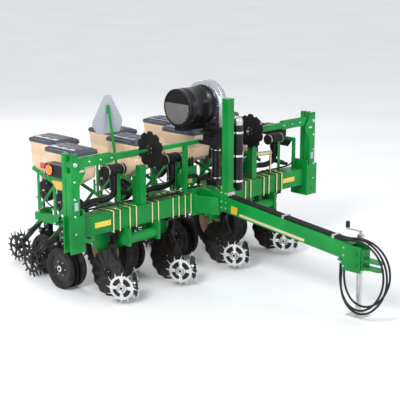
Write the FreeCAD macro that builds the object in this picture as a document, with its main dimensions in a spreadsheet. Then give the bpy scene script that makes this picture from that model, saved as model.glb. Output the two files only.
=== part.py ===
import FreeCAD, Part
import math
import os
import re

# Twin-row corn planter. Millimetres, +X along the toolbar, +Y to the rear, +Z up, ground at Z = 0.
# Every piece is modelled about the toolbar's centre line; toolbar_y then puts the origin under the
# middle of the machine. A row's pieces are modelled once, about the row's middle, and placed four
# times. A planting unit's pieces are modelled about its opener, and placed twice in each row.

DIMENSIONS = {
    # toolbar
    "toolbar_y": 280,
    "toolbar_half": 1555,
    "toolbar_size": 178,
    "toolbar_wall": 10,
    "toolbar_low": 675,
    "toolbar_top": 853,
    "cap_thick": 8,
    "plate": 12,
    # rows
    "row_spacing": 762,
    "twin_half": 101.6,
    "front_opener_y": 542,
    "rear_opener_y": 1062,
    # parallel arms
    "pin_r": 12,
    "running_gap": 0.05,
    "arm_front_y": 140,
    "arm_rear_y": 440,
    "lower_arm_z": 520,
    "upper_arm_z": 700,
    "arm_inner_x": 62,
    "arm_thick": 20,
    "arm_depth": 40,
    "arm_eye_r": 27,
    # coulter and row cleaners
    "coulter_r": 222,
    "coulter_y": 56,
    "coulter_thick": 5,
    "cleaner_r": 155,
    "cleaner_y": -250,
    "cleaner_z": 166,
    "cleaner_x": 88,
    "cleaner_toe": 30,
    # planting unit
    "opener_r": 178,
    "opener_toe": 4,
    "gauge_r": 203,
    "gauge_rim_r": 150,
    "gauge_x": 71,
    "gauge_width": 50,
    "spindle_r": 14,
    "closing_r": 165,
    "closing_y": 518,
    "closing_x": 40,
    "meter_r": 115,
    "meter_z": 850,
    # hoppers
    "hopper_y": -113,
    "hopper_top_z": 1360,
    "hopper_knee_z": 1130,
    "hopper_floor_z": 975,
    "hopper_top_x": 142,
    "hopper_top_y": 235,
    "hopper_knee_x": 130,
    "hopper_knee_y": 215,
    "hopper_wall": 5,
    "lid_half_x": 150,
    "lid_half_y": 243.5,
    "lid_rim": 34,
    "rest_gap": 0.3,
    # tongue
    "tongue_slope": 6.43,
    "tongue_length": 1878,
    "tongue_width": 102,
    "tongue_depth": 152,
    "tongue_wall": 8,
    "tongue_front_y": -1966,
    "tongue_front_z": 543,
    "mount_plate": 24,
    "hitch_pin_r": 16,
    "hitch_pin_y": -2260,
    "hitch_ear_thick": 20,
    "hitch_low_z": 495,
    "hitch_slot": 50,
    # jack
    "jack_x": 100,
    "jack_y": -1980,
    "jack_tube_r": 32,
    "jack_leg_r": 26,
    # markers
    "post_x": 1650,
    "post_y": -82,
    "post_pivot_z": 620,
    "post_top_z": 1375,
    "marker_disc_x": 700,
    "marker_disc_r": 178,
    # fan
    "fan_y": -50,
    "fan_z": 1730,
    "drum_r": 180,
    "drum_left_x": -320,
    "volute_left_x": 30,
    "volute_right_x": 150,
    "volute_r": 230,
    "sheet_metal": 5,
    # lift and transport wheels
    "lift_y": -90,
    "lift_z": 565,
    "lift_tube_r": 50,
    "tyre_x": 762,
    "tyre_y": 430,
    "tyre_r": 330,
    "tyre_width": 190,
    "rim_r": 205,
    # fasteners and hoses
    "u_bolt_r": 8,
    "hose_r": 10,
}

doc = FreeCAD.newDocument("CornPlanter")
sheet = doc.addObject("Spreadsheet::Sheet", "Dims")
for number, (alias, value) in enumerate(DIMENSIONS.items(), start=1):
    sheet.set(f"A{number}", alias)
    sheet.set(f"B{number}", str(value))
    sheet.setAlias(f"B{number}", alias)
doc.recompute()


# ---------------------------------------------------------------- building helpers

def dim(alias):
    """The value of one cell of the sheet."""
    return float(sheet.get(alias))


def formula(text):
    """A formula whose words are cells of the sheet."""
    return re.sub(r"[a-z_]+", lambda m: f"Dims.{m[0]}" if m[0] in DIMENSIONS else m[0], str(text))


def bind(piece, prop, text):
    piece.setExpression(prop, formula(text))


def add(kind, name):
    return doc.addObject(kind, name)


def place(piece, at, axis=None, angle="0"):
    """Put a piece's origin at three formulas, turned about an axis by a formula."""
    if axis:
        piece.Placement.Rotation = FreeCAD.Rotation(FreeCAD.Vector(*axis), 1)
        bind(piece, "Placement.Rotation.Angle", angle)
    for letter, text in zip("xyz", at):
        bind(piece, f"Placement.Base.{letter}", text)
    return piece


def block(name, low, high):
    """A box between two corners."""
    piece = add("Part::Box", name)
    for prop, start, end in zip(("Length", "Width", "Height"), low, high):
        bind(piece, prop, f"({end}) - ({start})")
    return place(piece, low)


DIRECTIONS = {"x": ((0, 1, 0), "90"), "y": ((1, 0, 0), "-90"), "z": (None, "0")}


def rod(name, direction, radius, start, length):
    """A round bar that starts at a point and runs along +x, +y or +z."""
    piece = add("Part::Cylinder", name)
    bind(piece, "Radius", radius)
    bind(piece, "Height", length)
    return place(piece, start, *DIRECTIONS[direction])


def side_bar(name, x_low, x_high, start, end, depth):
    """A flat bar in a plane of constant x, between two (y, z) points on its middle line."""
    (y1, z1), (y2, z2) = start, end
    slope = f"atan2(({z2}) - ({z1}); ({y2}) - ({y1}))"
    piece = add("Part::Box", name)
    bind(piece, "Length", f"({x_high}) - ({x_low})")
    bind(piece, "Width", f"sqrt((({y2}) - ({y1}))^2 + (({z2}) - ({z1}))^2)")
    bind(piece, "Height", depth)
    base = (x_low, f"({y1}) + sin({slope}) * ({depth}) / 2", f"({z1}) - cos({slope}) * ({depth}) / 2")
    return place(piece, base, (1, 0, 0), slope)


def floor_bar(name, z_low, z_high, start, end, depth):
    """A flat bar on edge, between two (x, y) points on its middle line."""
    (x1, y1), (x2, y2) = start, end
    heading = f"atan2(({y2}) - ({y1}); ({x2}) - ({x1}))"
    piece = add("Part::Box", name)
    bind(piece, "Length", f"sqrt((({x2}) - ({x1}))^2 + (({y2}) - ({y1}))^2)")
    bind(piece, "Width", depth)
    bind(piece, "Height", f"({z_high}) - ({z_low})")
    base = (f"({x1}) + sin({heading}) * ({depth}) / 2", f"({y1}) - cos({heading}) * ({depth}) / 2", z_low)
    return place(piece, base, (0, 0, 1), heading)


def frustum(name, low, high, z_low, z_high):
    """A tapered box: low and high are (x0, x1, y0, y1) at its bottom and its top."""
    piece = add("Part::Wedge", name)
    for prop, text in (("Xmin", low[0]), ("Xmax", low[1]), ("Zmin", f"-({low[3]})"), ("Zmax", f"-({low[2]})"),
                       ("X2min", high[0]), ("X2max", high[1]), ("Z2min", f"-({high[3]})"),
                       ("Z2max", f"-({high[2]})"), ("Ymin", z_low), ("Ymax", z_high)):
        bind(piece, prop, text)
    return place(piece, ("0", "0", "0"), (1, 0, 0), "90")


def fuse(name, pieces):
    piece = add("Part::MultiFuse", name)
    piece.Shapes = pieces
    return piece


def cut(name, base, tool):
    piece = add("Part::Cut", name)
    piece.Base = base
    piece.Tool = tool
    return piece


def group(name, pieces, at=("0", "0", "0"), axis=None, angle="0"):
    """Separate solids that are placed together."""
    piece = add("Part::Compound", name)
    piece.Links = pieces
    return place(piece, at, axis, angle)


nodes = []


def node(name, pieces, x="0", y="0", z="0", axis=None, angle="0"):
    """A sub-part: its solids, placed in the machine."""
    piece = group(name, pieces, (x, f"toolbar_y + ({y})", z), axis, angle)
    piece.Label = name
    nodes.append(piece)
    return piece


def ring(name, direction, outer, inner, start, length):
    """A tube, or a wheel's rim, with a bore right through."""
    return cut(name, rod(name + "_body", direction, outer, start, length),
               rod(name + "_bore", direction, inner, start, length))


def both_sides(maker, name):
    """The same piece on the left (-1) and on the right (+1)."""
    return [maker(f"{name}_{side}", sign) for side, sign in (("left", -1), ("right", 1))]


def spoked_wheel(name, radius, spikes, rim_in, rim_out, thick, hub_r, hub_half, bore_r, spike_wide):
    """A spiked ground wheel about x at the origin: hub, four spokes, rim and radial spikes."""
    rim = ring(name + "_rim", "x", rim_out, rim_in, (f"-({thick}) / 2", "0", "0"), thick)
    hub = rod(name + "_hub", "x", hub_r, (f"-({hub_half})", "0", "0"), f"2 * ({hub_half})")
    parts = [rim, hub]
    for count, inner, outer, width, label in ((4, f"({hub_r}) - 4", f"({rim_in}) + 4", "34", "spoke"),
                                              (spikes, f"({rim_out}) - 4", radius, spike_wide, "spike")):
        for index in range(count):
            turn = 360.0 * index / count
            bar = add("Part::Box", f"{name}_{label}{index}")
            bind(bar, "Length", thick)
            bind(bar, "Width", f"({outer}) - ({inner})")
            bind(bar, "Height", width)
            reach = (f"-({thick}) / 2",
                     f"({inner}) * cos({turn}) + ({width}) / 2 * sin({turn})",
                     f"({inner}) * sin({turn}) - ({width}) / 2 * cos({turn})")
            parts.append(place(bar, reach, (1, 0, 0), str(turn)))
    bore = rod(name + "_bore", "x", bore_r, (f"-({hub_half}) - 1", "0", "0"), f"2 * ({hub_half}) + 2")
    return cut(name, fuse(name + "_solid", parts), bore)


row_x = {number: f"row_spacing * ({number - 2.5})" for number in (1, 2, 3, 4)}


# ---------------------------------------------------------------- toolbar and row brackets

def toolbar():
    outer = block("bar_outer", ("-toolbar_half + cap_thick", "-toolbar_size / 2", "toolbar_low"),
                  ("toolbar_half - cap_thick", "toolbar_size / 2", "toolbar_top"))
    inner = block("bar_inner",
                  ("-toolbar_half", "-toolbar_size / 2 + toolbar_wall", "toolbar_low + toolbar_wall"),
                  ("toolbar_half", "toolbar_size / 2 - toolbar_wall", "toolbar_top - toolbar_wall"))
    tube = cut("bar_tube", outer, inner)

    def cap(name, sign):
        inside = f"{sign} * (toolbar_half - cap_thick)" if sign > 0 else "-toolbar_half"
        return block(name, (inside, "-toolbar_size / 2", "toolbar_low"),
                     (f"{inside} + cap_thick", "toolbar_size / 2", "toolbar_top"))

    brackets = [group(f"row_bracket_{k}", [row_bracket_template], (row_x[k], "0", "0")) for k in row_x]
    shanks = [group(f"coulter_mount_{k}", [coulter_mount_template], (row_x[k], "0", "0")) for k in row_x]
    node("toolbar", [tube] + both_sides(cap, "bar_cap") + brackets + shanks)


def row_bracket():
    """Plate behind the toolbar with lugs and pins for the two pairs of parallel arms."""
    plate = block("bracket_plate", ("-115", "toolbar_size / 2", "470"),
                  ("115", "toolbar_size / 2 + plate", "toolbar_top"))
    lugs = both_sides(lambda name, sign: block(
        name, (f"{min(sign * 98, sign * 86)}", "toolbar_size / 2 + plate", "485"),
        (f"{max(sign * 98, sign * 86)}", "arm_front_y + arm_eye_r", "735")), "bracket_lug")
    pins = [rod(f"bracket_pin_{level}", "x", "pin_r", ("-105", "arm_front_y", f"{level}_arm_z"), "210")
            for level in ("lower", "upper")]
    holes = [rod(f"bracket_hole_{side}", "y", "u_bolt_r + 1", (str(x), "toolbar_size / 2 - 1",
                 "toolbar_low - u_bolt_r"), "plate + 2") for side, x in (("left", -40), ("right", 40))]
    return cut("row_bracket", fuse("bracket_weld", [plate] + lugs + pins), group("bracket_holes", holes))


def coulter_mount():
    """Shank under the toolbar, with the coulter's spindle and the row cleaners' arm."""
    foot = block("coulter_foot", ("-70", "-60", "toolbar_low - 46"),
                 ("75", "60", "toolbar_low - 2 * u_bolt_r"))
    shank = side_bar("coulter_shank", "45", "65", ("20", "toolbar_low - 30"), ("coulter_y", "coulter_r"),
                     "70")
    end = rod("coulter_shank_end", "x", "35", ("45", "coulter_y", "coulter_r"), "20")
    spindle = rod("coulter_spindle", "x", "spindle_r", ("-34", "coulter_y", "coulter_r"), "90")
    joint_y = "(cleaner_y + cleaner_x * tan(cleaner_toe))"
    joiner = block("cleaner_joiner", ("20", "-10", "440"), ("64", "60", "520"))
    arm = side_bar("cleaner_arm", "20", "34", ("20", "480"), (f"{joint_y} + 10", "cleaner_z + 5"), "44")
    knuckle = block("cleaner_knuckle", ("-16", f"{joint_y} - 24", "cleaner_z - 34"),
                    ("34", f"{joint_y} + 24", "cleaner_z + 34"))
    reach = "cleaner_x / cos(cleaner_toe) + 25"
    spindles = []
    for side, heading in (("left", "180 + cleaner_toe"), ("right", "-cleaner_toe")):
        turned = rod(f"cleaner_spindle_{side}_bar", "x", "pin_r", ("0", "0", "0"), reach)
        spindles.append(group(f"cleaner_spindle_{side}", [turned], ("0", joint_y, "cleaner_z"),
                              (0, 0, 1), heading))
    return fuse("coulter_mount", [foot, shank, end, spindle, joiner, arm, knuckle] + spindles)


row_bracket_template = row_bracket()
coulter_mount_template = coulter_mount()
toolbar()


# ---------------------------------------------------------------- tongue, hitch and hose clamps

def on_tongue(name, pieces):
    """Pieces modelled along the tongue: y from its front end, z from its underside."""
    return group(name, pieces, ("0", "tongue_front_y", "tongue_front_z"), (1, 0, 0), "tongue_slope")


def hose_clamp(name, y):
    legs = [block(f"{name}_leg_{side}", (str(x), f"{y}", "tongue_depth"),
                  (str(x + 4), f"{y} + 30", "tongue_depth + 28"))
            for side, x in (("left", -49), ("right", 45))]
    strap = block(f"{name}_strap", ("-49", f"{y}", "tongue_depth + 26"),
                  ("49", f"{y} + 30", "tongue_depth + 30"))
    return fuse(name, legs + [strap])


def tongue():
    beam = cut("tongue_beam",
               block("beam_outer", ("-tongue_width / 2", "0", "0"),
                     ("tongue_width / 2", "tongue_length", "tongue_depth")),
               block("beam_inner", ("-tongue_width / 2 + tongue_wall", "-1", "tongue_wall"),
                     ("tongue_width / 2 - tongue_wall", "tongue_length - tongue_wall",
                      "tongue_depth - tongue_wall")))
    sloped = on_tongue("tongue_sloped", [beam, hose_clamp("clamp_front", 190), hose_clamp("clamp_rear", 790)])
    plate = block("mount_face", ("-165", "-toolbar_size / 2 - mount_plate", "640"),
                  ("165", "-toolbar_size / 2", "905"))
    wings = both_sides(lambda name, sign: floor_bar(
        name, "672", "850", (f"{sign * 148}", "-toolbar_size / 2 - mount_plate"),
        (f"{sign * 61}", "-372"), "plate"), "tongue_wing")
    hitch_plates = both_sides(lambda name, sign: block(
        name, (f"{min(sign * 51, sign * 63)}", "-2105", "454"), (f"{max(sign * 51, sign * 63)}", "-1900",
                                                                 "692")),
        "hitch_plate")
    hitch_bolts = [rod(f"hitch_bolt_{level}", "x", "pin_r", ("-75", "-2060", z), "150")
                   for level, z in (("low", "520"), ("high", "630"))]
    casting = block("hitch_casting", ("-51", "-2125", "482"), ("51", "-2010", "660"))
    ears = []
    for level, low in (("low", "hitch_low_z"), ("high", "hitch_low_z + hitch_ear_thick + hitch_slot")):
        flat = block(f"ear_flat_{level}", ("-45", "hitch_pin_y", low),
                     ("45", "-2120", f"{low} + hitch_ear_thick"))
        nose = rod(f"ear_nose_{level}", "z", "45", ("0", "hitch_pin_y", low), "hitch_ear_thick")
        ears += [flat, nose]
    hitch = cut("hitch", fuse("hitch_weld", hitch_plates + hitch_bolts + [casting] + ears),
                rod("hitch_pin_hole", "z", "hitch_pin_r", ("0", "hitch_pin_y", "hitch_low_z - 10"), "130"))
    holder = block("coupler_holder", ("-45", "-1885", "522"), ("45", "-1835", "534"))
    hangers = [block(f"holder_leg_{side}", (str(x), "-1872", "534"), (str(x + 6), "-1848", "558"))
               for side, x in (("left", -45), ("right", 39))]
    beam_cover = cut("hitch_clear", hitch, on_tongue("beam_room", [
        block("beam_room_block", ("-tongue_width / 2", "-1", "0"),
              ("tongue_width / 2", "tongue_length", "tongue_depth"))]))
    hangers_clear = cut("hangers_clear", fuse("holder_weld", [holder] + hangers), on_tongue("holder_room", [
        block("holder_room_block", ("-tongue_width / 2", "0", "0"),
              ("tongue_width / 2", "tongue_length", "tongue_depth"))]))
    mount = cut("tongue_mount", fuse("mount_weld", [plate] + wings), on_tongue("mount_room", [
        block("mount_room_block", ("-tongue_width / 2", "0", "0"),
              ("tongue_width / 2", "tongue_length", "tongue_depth"))]))
    node("tongue", [sloped, mount, beam_cover, hangers_clear])


tongue()


# ---------------------------------------------------------------- jack

def jack():
    tube = ring("jack_barrel", "z", "jack_tube_r", "jack_leg_r + 1", ("jack_x", "jack_y", "400"), "350")
    saddle = cut("jack_saddle", block("saddle_block", ("tongue_width / 2 + plate", "jack_y - 35", "565"),
                                      ("jack_x", "jack_y + 35", "675")),
                 rod("saddle_bore", "z", "jack_tube_r - 1", ("jack_x", "jack_y", "560"), "120"))
    cap = rod("jack_cap", "z", "jack_tube_r", ("jack_x", "jack_y", "750"), "10")
    node("jack_tube", [cut("jack_tube_bored", fuse("jack_tube_weld", [tube, saddle, cap]),
                           rod("crank_bore", "z", "pin_r + running_gap", ("jack_x", "jack_y", "745"), "20"))])
    leg = ring("jack_inner_tube", "z", "jack_leg_r", "jack_leg_r - 5", ("jack_x", "jack_y", "10"), "420")
    foot = block("jack_foot", ("jack_x - 75", "jack_y - 85", "0"), ("jack_x + 75", "jack_y + 85", "10"))
    node("jack_leg", [fuse("jack_leg_weld", [leg, foot])])
    stem = rod("crank_stem", "z", "pin_r", ("jack_x", "jack_y", "735"), "60")
    arm = block("crank_arm", ("jack_x - 10", "jack_y - 12", "783"), ("jack_x + 10", "jack_y + 160", "793"))
    grip = rod("crank_grip", "z", "14", ("jack_x", "jack_y + 148", "790"), "70")
    node("jack_crank", [fuse("jack_crank_weld", [stem, arm, grip])])


jack()


# ---------------------------------------------------------------- uprights on the frame

def marker_bracket(name, sign):
    """End plate on the toolbar and two ears with the marker's pivot pin."""
    def between(a, b):
        return (str(min(sign * a, sign * b)), str(max(sign * a, sign * b)))
    plate_x = between(1555, 1573)
    ear_x = between(1573, 1720)
    end_plate = block(name + "_plate", (plate_x[0], "-135", "560"), (plate_x[1], "toolbar_size / 2", "950"))
    ears = [block(f"{name}_ear_{side}", (ear_x[0], y_low, "560"), (ear_x[1], y_high, "900"))
            for side, y_low, y_high in (("front", "-135", "-121"), ("rear", "-43", "-29"))]
    pin = rod(name + "_pin", "y", "pin_r", (f"{sign} * post_x", "-145", "post_pivot_z"), "126")
    return fuse(name, [end_plate] + ears + [pin])


def lift_mast(name, sign):
    """Post on the toolbar for the lift cylinder, and the bearings of the lift tube under it."""
    low, high = sorted((sign * 745, sign * 815))
    post = block(name + "_post", (str(low), "-70", "toolbar_top"), (str(high), "0", "1230"))
    rear = block(name + "_rear", (str(low + 25), "0", "toolbar_top"), (str(high - 25), "80", "1120"))
    bearings = []
    for label, x in (("inner", 640), ("outer", 1010)):
        left, right = sorted((sign * x, sign * (x + 30)))
        bearings.append(cut(f"{name}_bearing_{label}",
                            block(f"{name}_hanger_{label}", (str(left), "lift_y - 60", "lift_z - 60"),
                                  (str(right), "lift_y + 110", "toolbar_low")),
                            rod(f"{name}_bore_{label}", "x", "lift_tube_r + running_gap",
                                (str(left - 1), "lift_y", "lift_z"), "32")))
    return group(name, [fuse(name + "_weld", [post, rear])] + bearings)


def upright_posts():
    mast_tube = cut("mast_tube", block("mast_outer", ("-40", "-470", "875"), ("40", "-390", "1820")),
                    block("mast_inner", ("-34", "-464", "870"), ("34", "-396", "1814")))
    cheeks = both_sides(lambda name, sign: block(
        name, (f"{min(sign * 51, sign * 59)}", "-475", "720"), (f"{max(sign * 51, sign * 59)}", "-385",
                                                                "940")),
        "mast_cheek")
    spacers = both_sides(lambda name, sign: block(
        name, (f"{min(sign * 40, sign * 51)}", "-470", "875"), (f"{max(sign * 40, sign * 51)}", "-390",
                                                                "940")),
        "mast_spacer")
    mast = fuse("centre_mast", [mast_tube] + cheeks + spacers)
    fan_leg = block("fan_leg", ("-235", "-75", "toolbar_top"), ("-195", "-35", "1345"))
    fan_rail = block("fan_rail", ("-540", "-75", "1345"), ("0", "-35", "1385"))
    fan_arms = [block("fan_arm_low", ("-40", "-390", "1345"), ("0", "-75", "1385")),
                block("fan_arm_high", ("-40", "-390", "1500"), ("0", "-110", "1540")),
                block("fan_arm_web", ("-24", "-390", "1385"), ("-16", "-110", "1500"))]
    fan_saddle = block("fan_saddle", ("-290", "-110", "1500"), ("0", "10", "1540"))
    saddle_room = rod("saddle_room", "x", "drum_r", ("-400", "fan_y", "fan_z"), "500")
    stand = cut("fan_stand", fuse("fan_stand_weld", fan_arms + [fan_leg, fan_rail, fan_saddle,
                block("fan_saddle_top", ("-290", "-110", "1540"), ("0", "10", "1570"))]), saddle_room)
    node("upright_posts", [mast, stand] + both_sides(marker_bracket, "marker_bracket")
         + both_sides(lift_mast, "lift_mast"))


upright_posts()


# ---------------------------------------------------------------- folding row markers

def marker(side, sign):
    """Inner arm that stands up from its pivot, outer arm folded inward over the row, and disc."""
    def between(a, b):
        return (str(min(sign * a, sign * b)), str(max(sign * a, sign * b)))
    half = between(1612, 1688)
    beam = cut(f"marker_beam_{side}",
               block(f"marker_beam_outer_{side}", (half[0], "post_y - 37", "655"),
                     (half[1], "post_y + 37", "post_top_z - 75")),
               block(f"marker_beam_inner_{side}", (f"{half[0]} + 6", "post_y - 31", "661"),
                     (f"{half[1]} - 6", "post_y + 31", "post_top_z - 81")))
    eye = rod(f"marker_eye_{side}", "y", "38", (f"{sign} * post_x", "post_y - 37", "post_pivot_z"), "74")
    fork = [block(f"marker_fork_{label}_{side}", (half[0], y_low, "post_top_z - 120"),
                  (half[1], y_high, "1465"))
            for label, y_low, y_high in (("front", "post_y - 37", "post_y - 25"),
                                         ("rear", "post_y + 25", "post_y + 37"))]
    pin = rod(f"marker_fold_pin_{side}", "y", "pin_r", (f"{sign} * post_x", "post_y - 42", "post_top_z"),
              "84")
    bore = rod(f"marker_bore_{side}", "y", "pin_r + running_gap",
               (f"{sign} * post_x", "post_y - 50", "post_pivot_z"), "100")
    node(f"marker_arm_{side}", [cut(f"marker_inner_{side}", fuse(f"marker_inner_weld_{side}",
                                [beam, eye] + fork + [pin]), bore)])

    fold_eye = rod(f"outer_eye_{side}", "y", "40", (f"{sign} * post_x", "post_y - 23", "post_top_z"), "46")
    wide = between(1180, 1650)
    slim = between(860, 1200)
    bars = [block(f"outer_wide_{side}", (wide[0], "post_y - 23", "post_top_z - 45"),
                  (wide[1], "post_y + 23", "post_top_z + 45")),
            block(f"outer_slim_{side}", (slim[0], "post_y - 20", "post_top_z - 30"),
                  (slim[1], "post_y + 20", "post_top_z + 30"))]
    spindle_x = between(655, 865)
    spindle = rod(f"disc_spindle_{side}", "x", "spindle_r", (spindle_x[0], "post_y", "post_top_z"), "210")
    fold_bore = rod(f"outer_bore_{side}", "y", "pin_r + running_gap",
                    (f"{sign} * post_x", "post_y - 30", "post_top_z"), "60")
    node(f"marker_outer_{side}", [cut(f"marker_outer_body_{side}",
                                      fuse(f"marker_outer_weld_{side}",
                                           [fold_eye] + bars + [spindle]), fold_bore)])
    node(f"marker_disc_{side}", [marker_disc_template], x=f"{sign} * marker_disc_x", y="post_y",
         z="post_top_z")


def marker_disc():
    """A notched disc about x with its hub."""
    plate = rod("marker_plate", "x", "marker_disc_r", ("-3", "0", "0"), "6")
    hub = rod("marker_hub", "x", "42", ("-35", "0", "0"), "70")
    notch_count = 10
    notches = [rod(f"marker_notch_{i}", "x", "20",
                   ("-10", f"marker_disc_r * cos({360.0 * i / notch_count})",
                    f"marker_disc_r * sin({360.0 * i / notch_count})"), "20") for i in range(notch_count)]
    bore = rod("marker_hub_bore", "x", "spindle_r + running_gap", ("-40", "0", "0"), "80")
    return cut("marker_disc_body", fuse("marker_disc_weld", [plate, hub]),
               group("marker_cuts", notches + [bore]))


marker_disc_template = marker_disc()
marker("left", -1)
marker("right", 1)


# ---------------------------------------------------------------- fan

def fan():
    drum_length = "volute_left_x - drum_left_x"
    drum = fuse("drum", [
        ring("drum_wall", "x", "drum_r", "drum_r - sheet_metal", ("drum_left_x", "fan_y", "fan_z"),
             drum_length),
        rod("drum_screen", "x", "drum_r - sheet_metal", ("drum_left_x + 4", "fan_y", "fan_z"), "4")])
    wide = "volute_right_x - volute_left_x"
    scroll = fuse("scroll_outer", [
        rod("scroll_round", "x", "volute_r", ("volute_left_x", "fan_y", "fan_z"), wide),
        block("scroll_outlet", ("volute_left_x", "fan_y - volute_r", "1480"),
              ("volute_right_x", "fan_y - 110", "fan_z"))])
    room = fuse("scroll_inner", [
        rod("room_round", "x", "volute_r - sheet_metal", ("volute_left_x + sheet_metal", "fan_y", "fan_z"),
            f"{wide} - 2 * sheet_metal"),
        block("room_outlet", ("volute_left_x + sheet_metal", "fan_y - volute_r + sheet_metal", "1470"),
              ("volute_right_x - sheet_metal", "fan_y - 110 - sheet_metal", "fan_z")),
        rod("room_inlet", "x", "150", ("volute_left_x - 1", "fan_y", "fan_z"), "20")])
    volute = cut("volute", scroll, room)
    funnel = cut("funnel",
                 frustum("funnel_outer", ("90", "190", "-180", "-90"), ("20", "160", "-290", "-150"),
                                   "1290", "1480"),
                 frustum("funnel_inner", ("97", "183", "-173", "-97"), ("27", "153", "-283", "-157"),
                         "1285", "1482"))
    pipe = ring("down_pipe", "z", "44", "39", ("140", "-135", "960"), "330")
    boot = cut("air_boot",
               fuse("boot_outer", [block("boot_box", ("92", "-185", "906"), ("188", "-40", "960")),
                                               block("boot_leg", ("100", "-88", "toolbar_top"),
                                                     ("160", "-40", "906"))]),
               fuse("boot_room", [block("boot_box_room", ("97", "-180", "911"), ("183", "-45", "955")),
                                  block("boot_leg_room", ("105", "-83", "toolbar_top - 1"),
                                        ("155", "-45", "912")),
                                  rod("boot_inlet", "z", "39", ("140", "-135", "950"), "15")]))
    motor = rod("fan_motor", "x", "60", ("volute_right_x", "fan_y", "fan_z"), "70")
    motor_bored = cut("fan_motor_bored", motor,
                      rod("motor_bore", "x", "pin_r + running_gap", ("volute_right_x - 1", "fan_y", "fan_z"),
                          "45"))
    end_bore = rod("volute_end_bore", "x", "pin_r + 3", ("volute_right_x - 20", "fan_y", "fan_z"), "30")
    node("fan_housing", [drum, cut("volute_bored", volute, end_bore), funnel, pipe, boot, motor_bored])
    shaft = rod("rotor_shaft", "x", "pin_r", ("volute_left_x + 15", "fan_y", "fan_z"), "145")
    back = rod("rotor_back", "x", "145", ("volute_right_x - 25", "fan_y", "fan_z"), "8")
    blade_count = 10
    blades = []
    for index in range(blade_count):
        turn = 360.0 * index / blade_count
        blade = block(f"rotor_blade_{index}", ("volute_left_x + 25", "50", "-2"),
                      ("volute_right_x - 20", "140", "2"))
        blades.append(group(f"rotor_blade_at_{index}", [blade], ("0", "fan_y", "fan_z"), (1, 0, 0),
                            str(turn)))
    node("fan_rotor", [fuse("rotor_weld", [shaft, back] + blades)])


fan()


# ---------------------------------------------------------------- U-bolts round the toolbar

def u_bolts():
    face = "toolbar_size / 2"
    reach = "toolbar_size + plate + u_bolt_r + 22"
    front = rod("u_bolt_front", "z", "u_bolt_r", ("0", f"-{face} - u_bolt_r", "toolbar_low - u_bolt_r"),
                "toolbar_size + 2 * u_bolt_r")
    legs = [rod(f"u_bolt_leg_{level}", "y", "u_bolt_r", ("0", f"-{face} - u_bolt_r", z), reach)
            for level, z in (("low", "toolbar_low - u_bolt_r"), ("high", "toolbar_top + u_bolt_r"))]
    nuts = [rod(f"u_bolt_nut_{level}", "y", "16", ("0", f"{face} + plate", z), "14")
            for level, z in (("low", "toolbar_low - u_bolt_r"), ("high", "toolbar_top + u_bolt_r"))]
    bolt = fuse("u_bolt", [front] + legs + nuts)
    centres = [row_x[k] for k in row_x]
    for x in (655, 940, 215):
        centres += [str(x), str(-x)]
    placed = [group(f"u_bolt_{i}_{j}", [bolt], (f"{centre} + ({offset})", "0", "0"))
              for i, centre in enumerate(centres) for j, offset in enumerate((-40, 40))]
    straps = [block(f"clamp_strap_{i}", (f"{centre} - 50", face, "toolbar_low"),
                    (f"{centre} + 50", f"{face} + plate", "toolbar_top"))
              for i, centre in enumerate(centres[4:])]
    node("u_bolts", placed + straps)


u_bolts()


# ---------------------------------------------------------------- lamps, reflectors and slow-vehicle sign

def safety_signals():
    def lamp(name, sign):
        low, high = sorted((sign * 1440, sign * 1550))
        housing = block(name + "_housing", (str(low), "160", "1185"), (str(high), "440", "1300"))
        left, right = sorted((sign * 1500, sign * 1530))
        arm = block(name + "_arm", (str(left), "10", "1150"), (str(right), "420", "1185"))
        leg = block(name + "_leg", (str(left), "10", "toolbar_top"), (str(right), "40", "1150"))
        return group(name, [housing, fuse(name + "_support", [arm, leg])])

    strips = both_sides(lambda name, sign: block(
        name, (f"{min(sign * 1210, sign * 1400)}", "-toolbar_size / 2 - 3", "740"),
        (f"{max(sign * 1210, sign * 1400)}", "-toolbar_size / 2", "790")), "reflector_strip")
    pole = side_bar("sign_pole", "-836", "-824", ("190", "830"), ("366", "1770"), "28")
    foot = block("sign_foot", ("-860", "toolbar_size / 2", "800"), ("-800", "215", "850"))
    hook = block("sign_hook", ("-842", "350", "1690"), ("-818", "382", "1740"))
    widest = ("-1020", "-640", "382", "388")
    plate = fuse("sign_plate", [
        frustum("sign_low", ("-955", "-675", "382", "388"), widest, "1490", "1610"),
        frustum("sign_high", widest, ("-865", "-785", "382", "388"), "1610", "1860")])
    node("safety_signals",
         both_sides(lamp, "lamp") + strips + [fuse("sign_mount", [pole, foot, hook]), plate])


safety_signals()


# ---------------------------------------------------------------- lift arms and transport wheels

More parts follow.
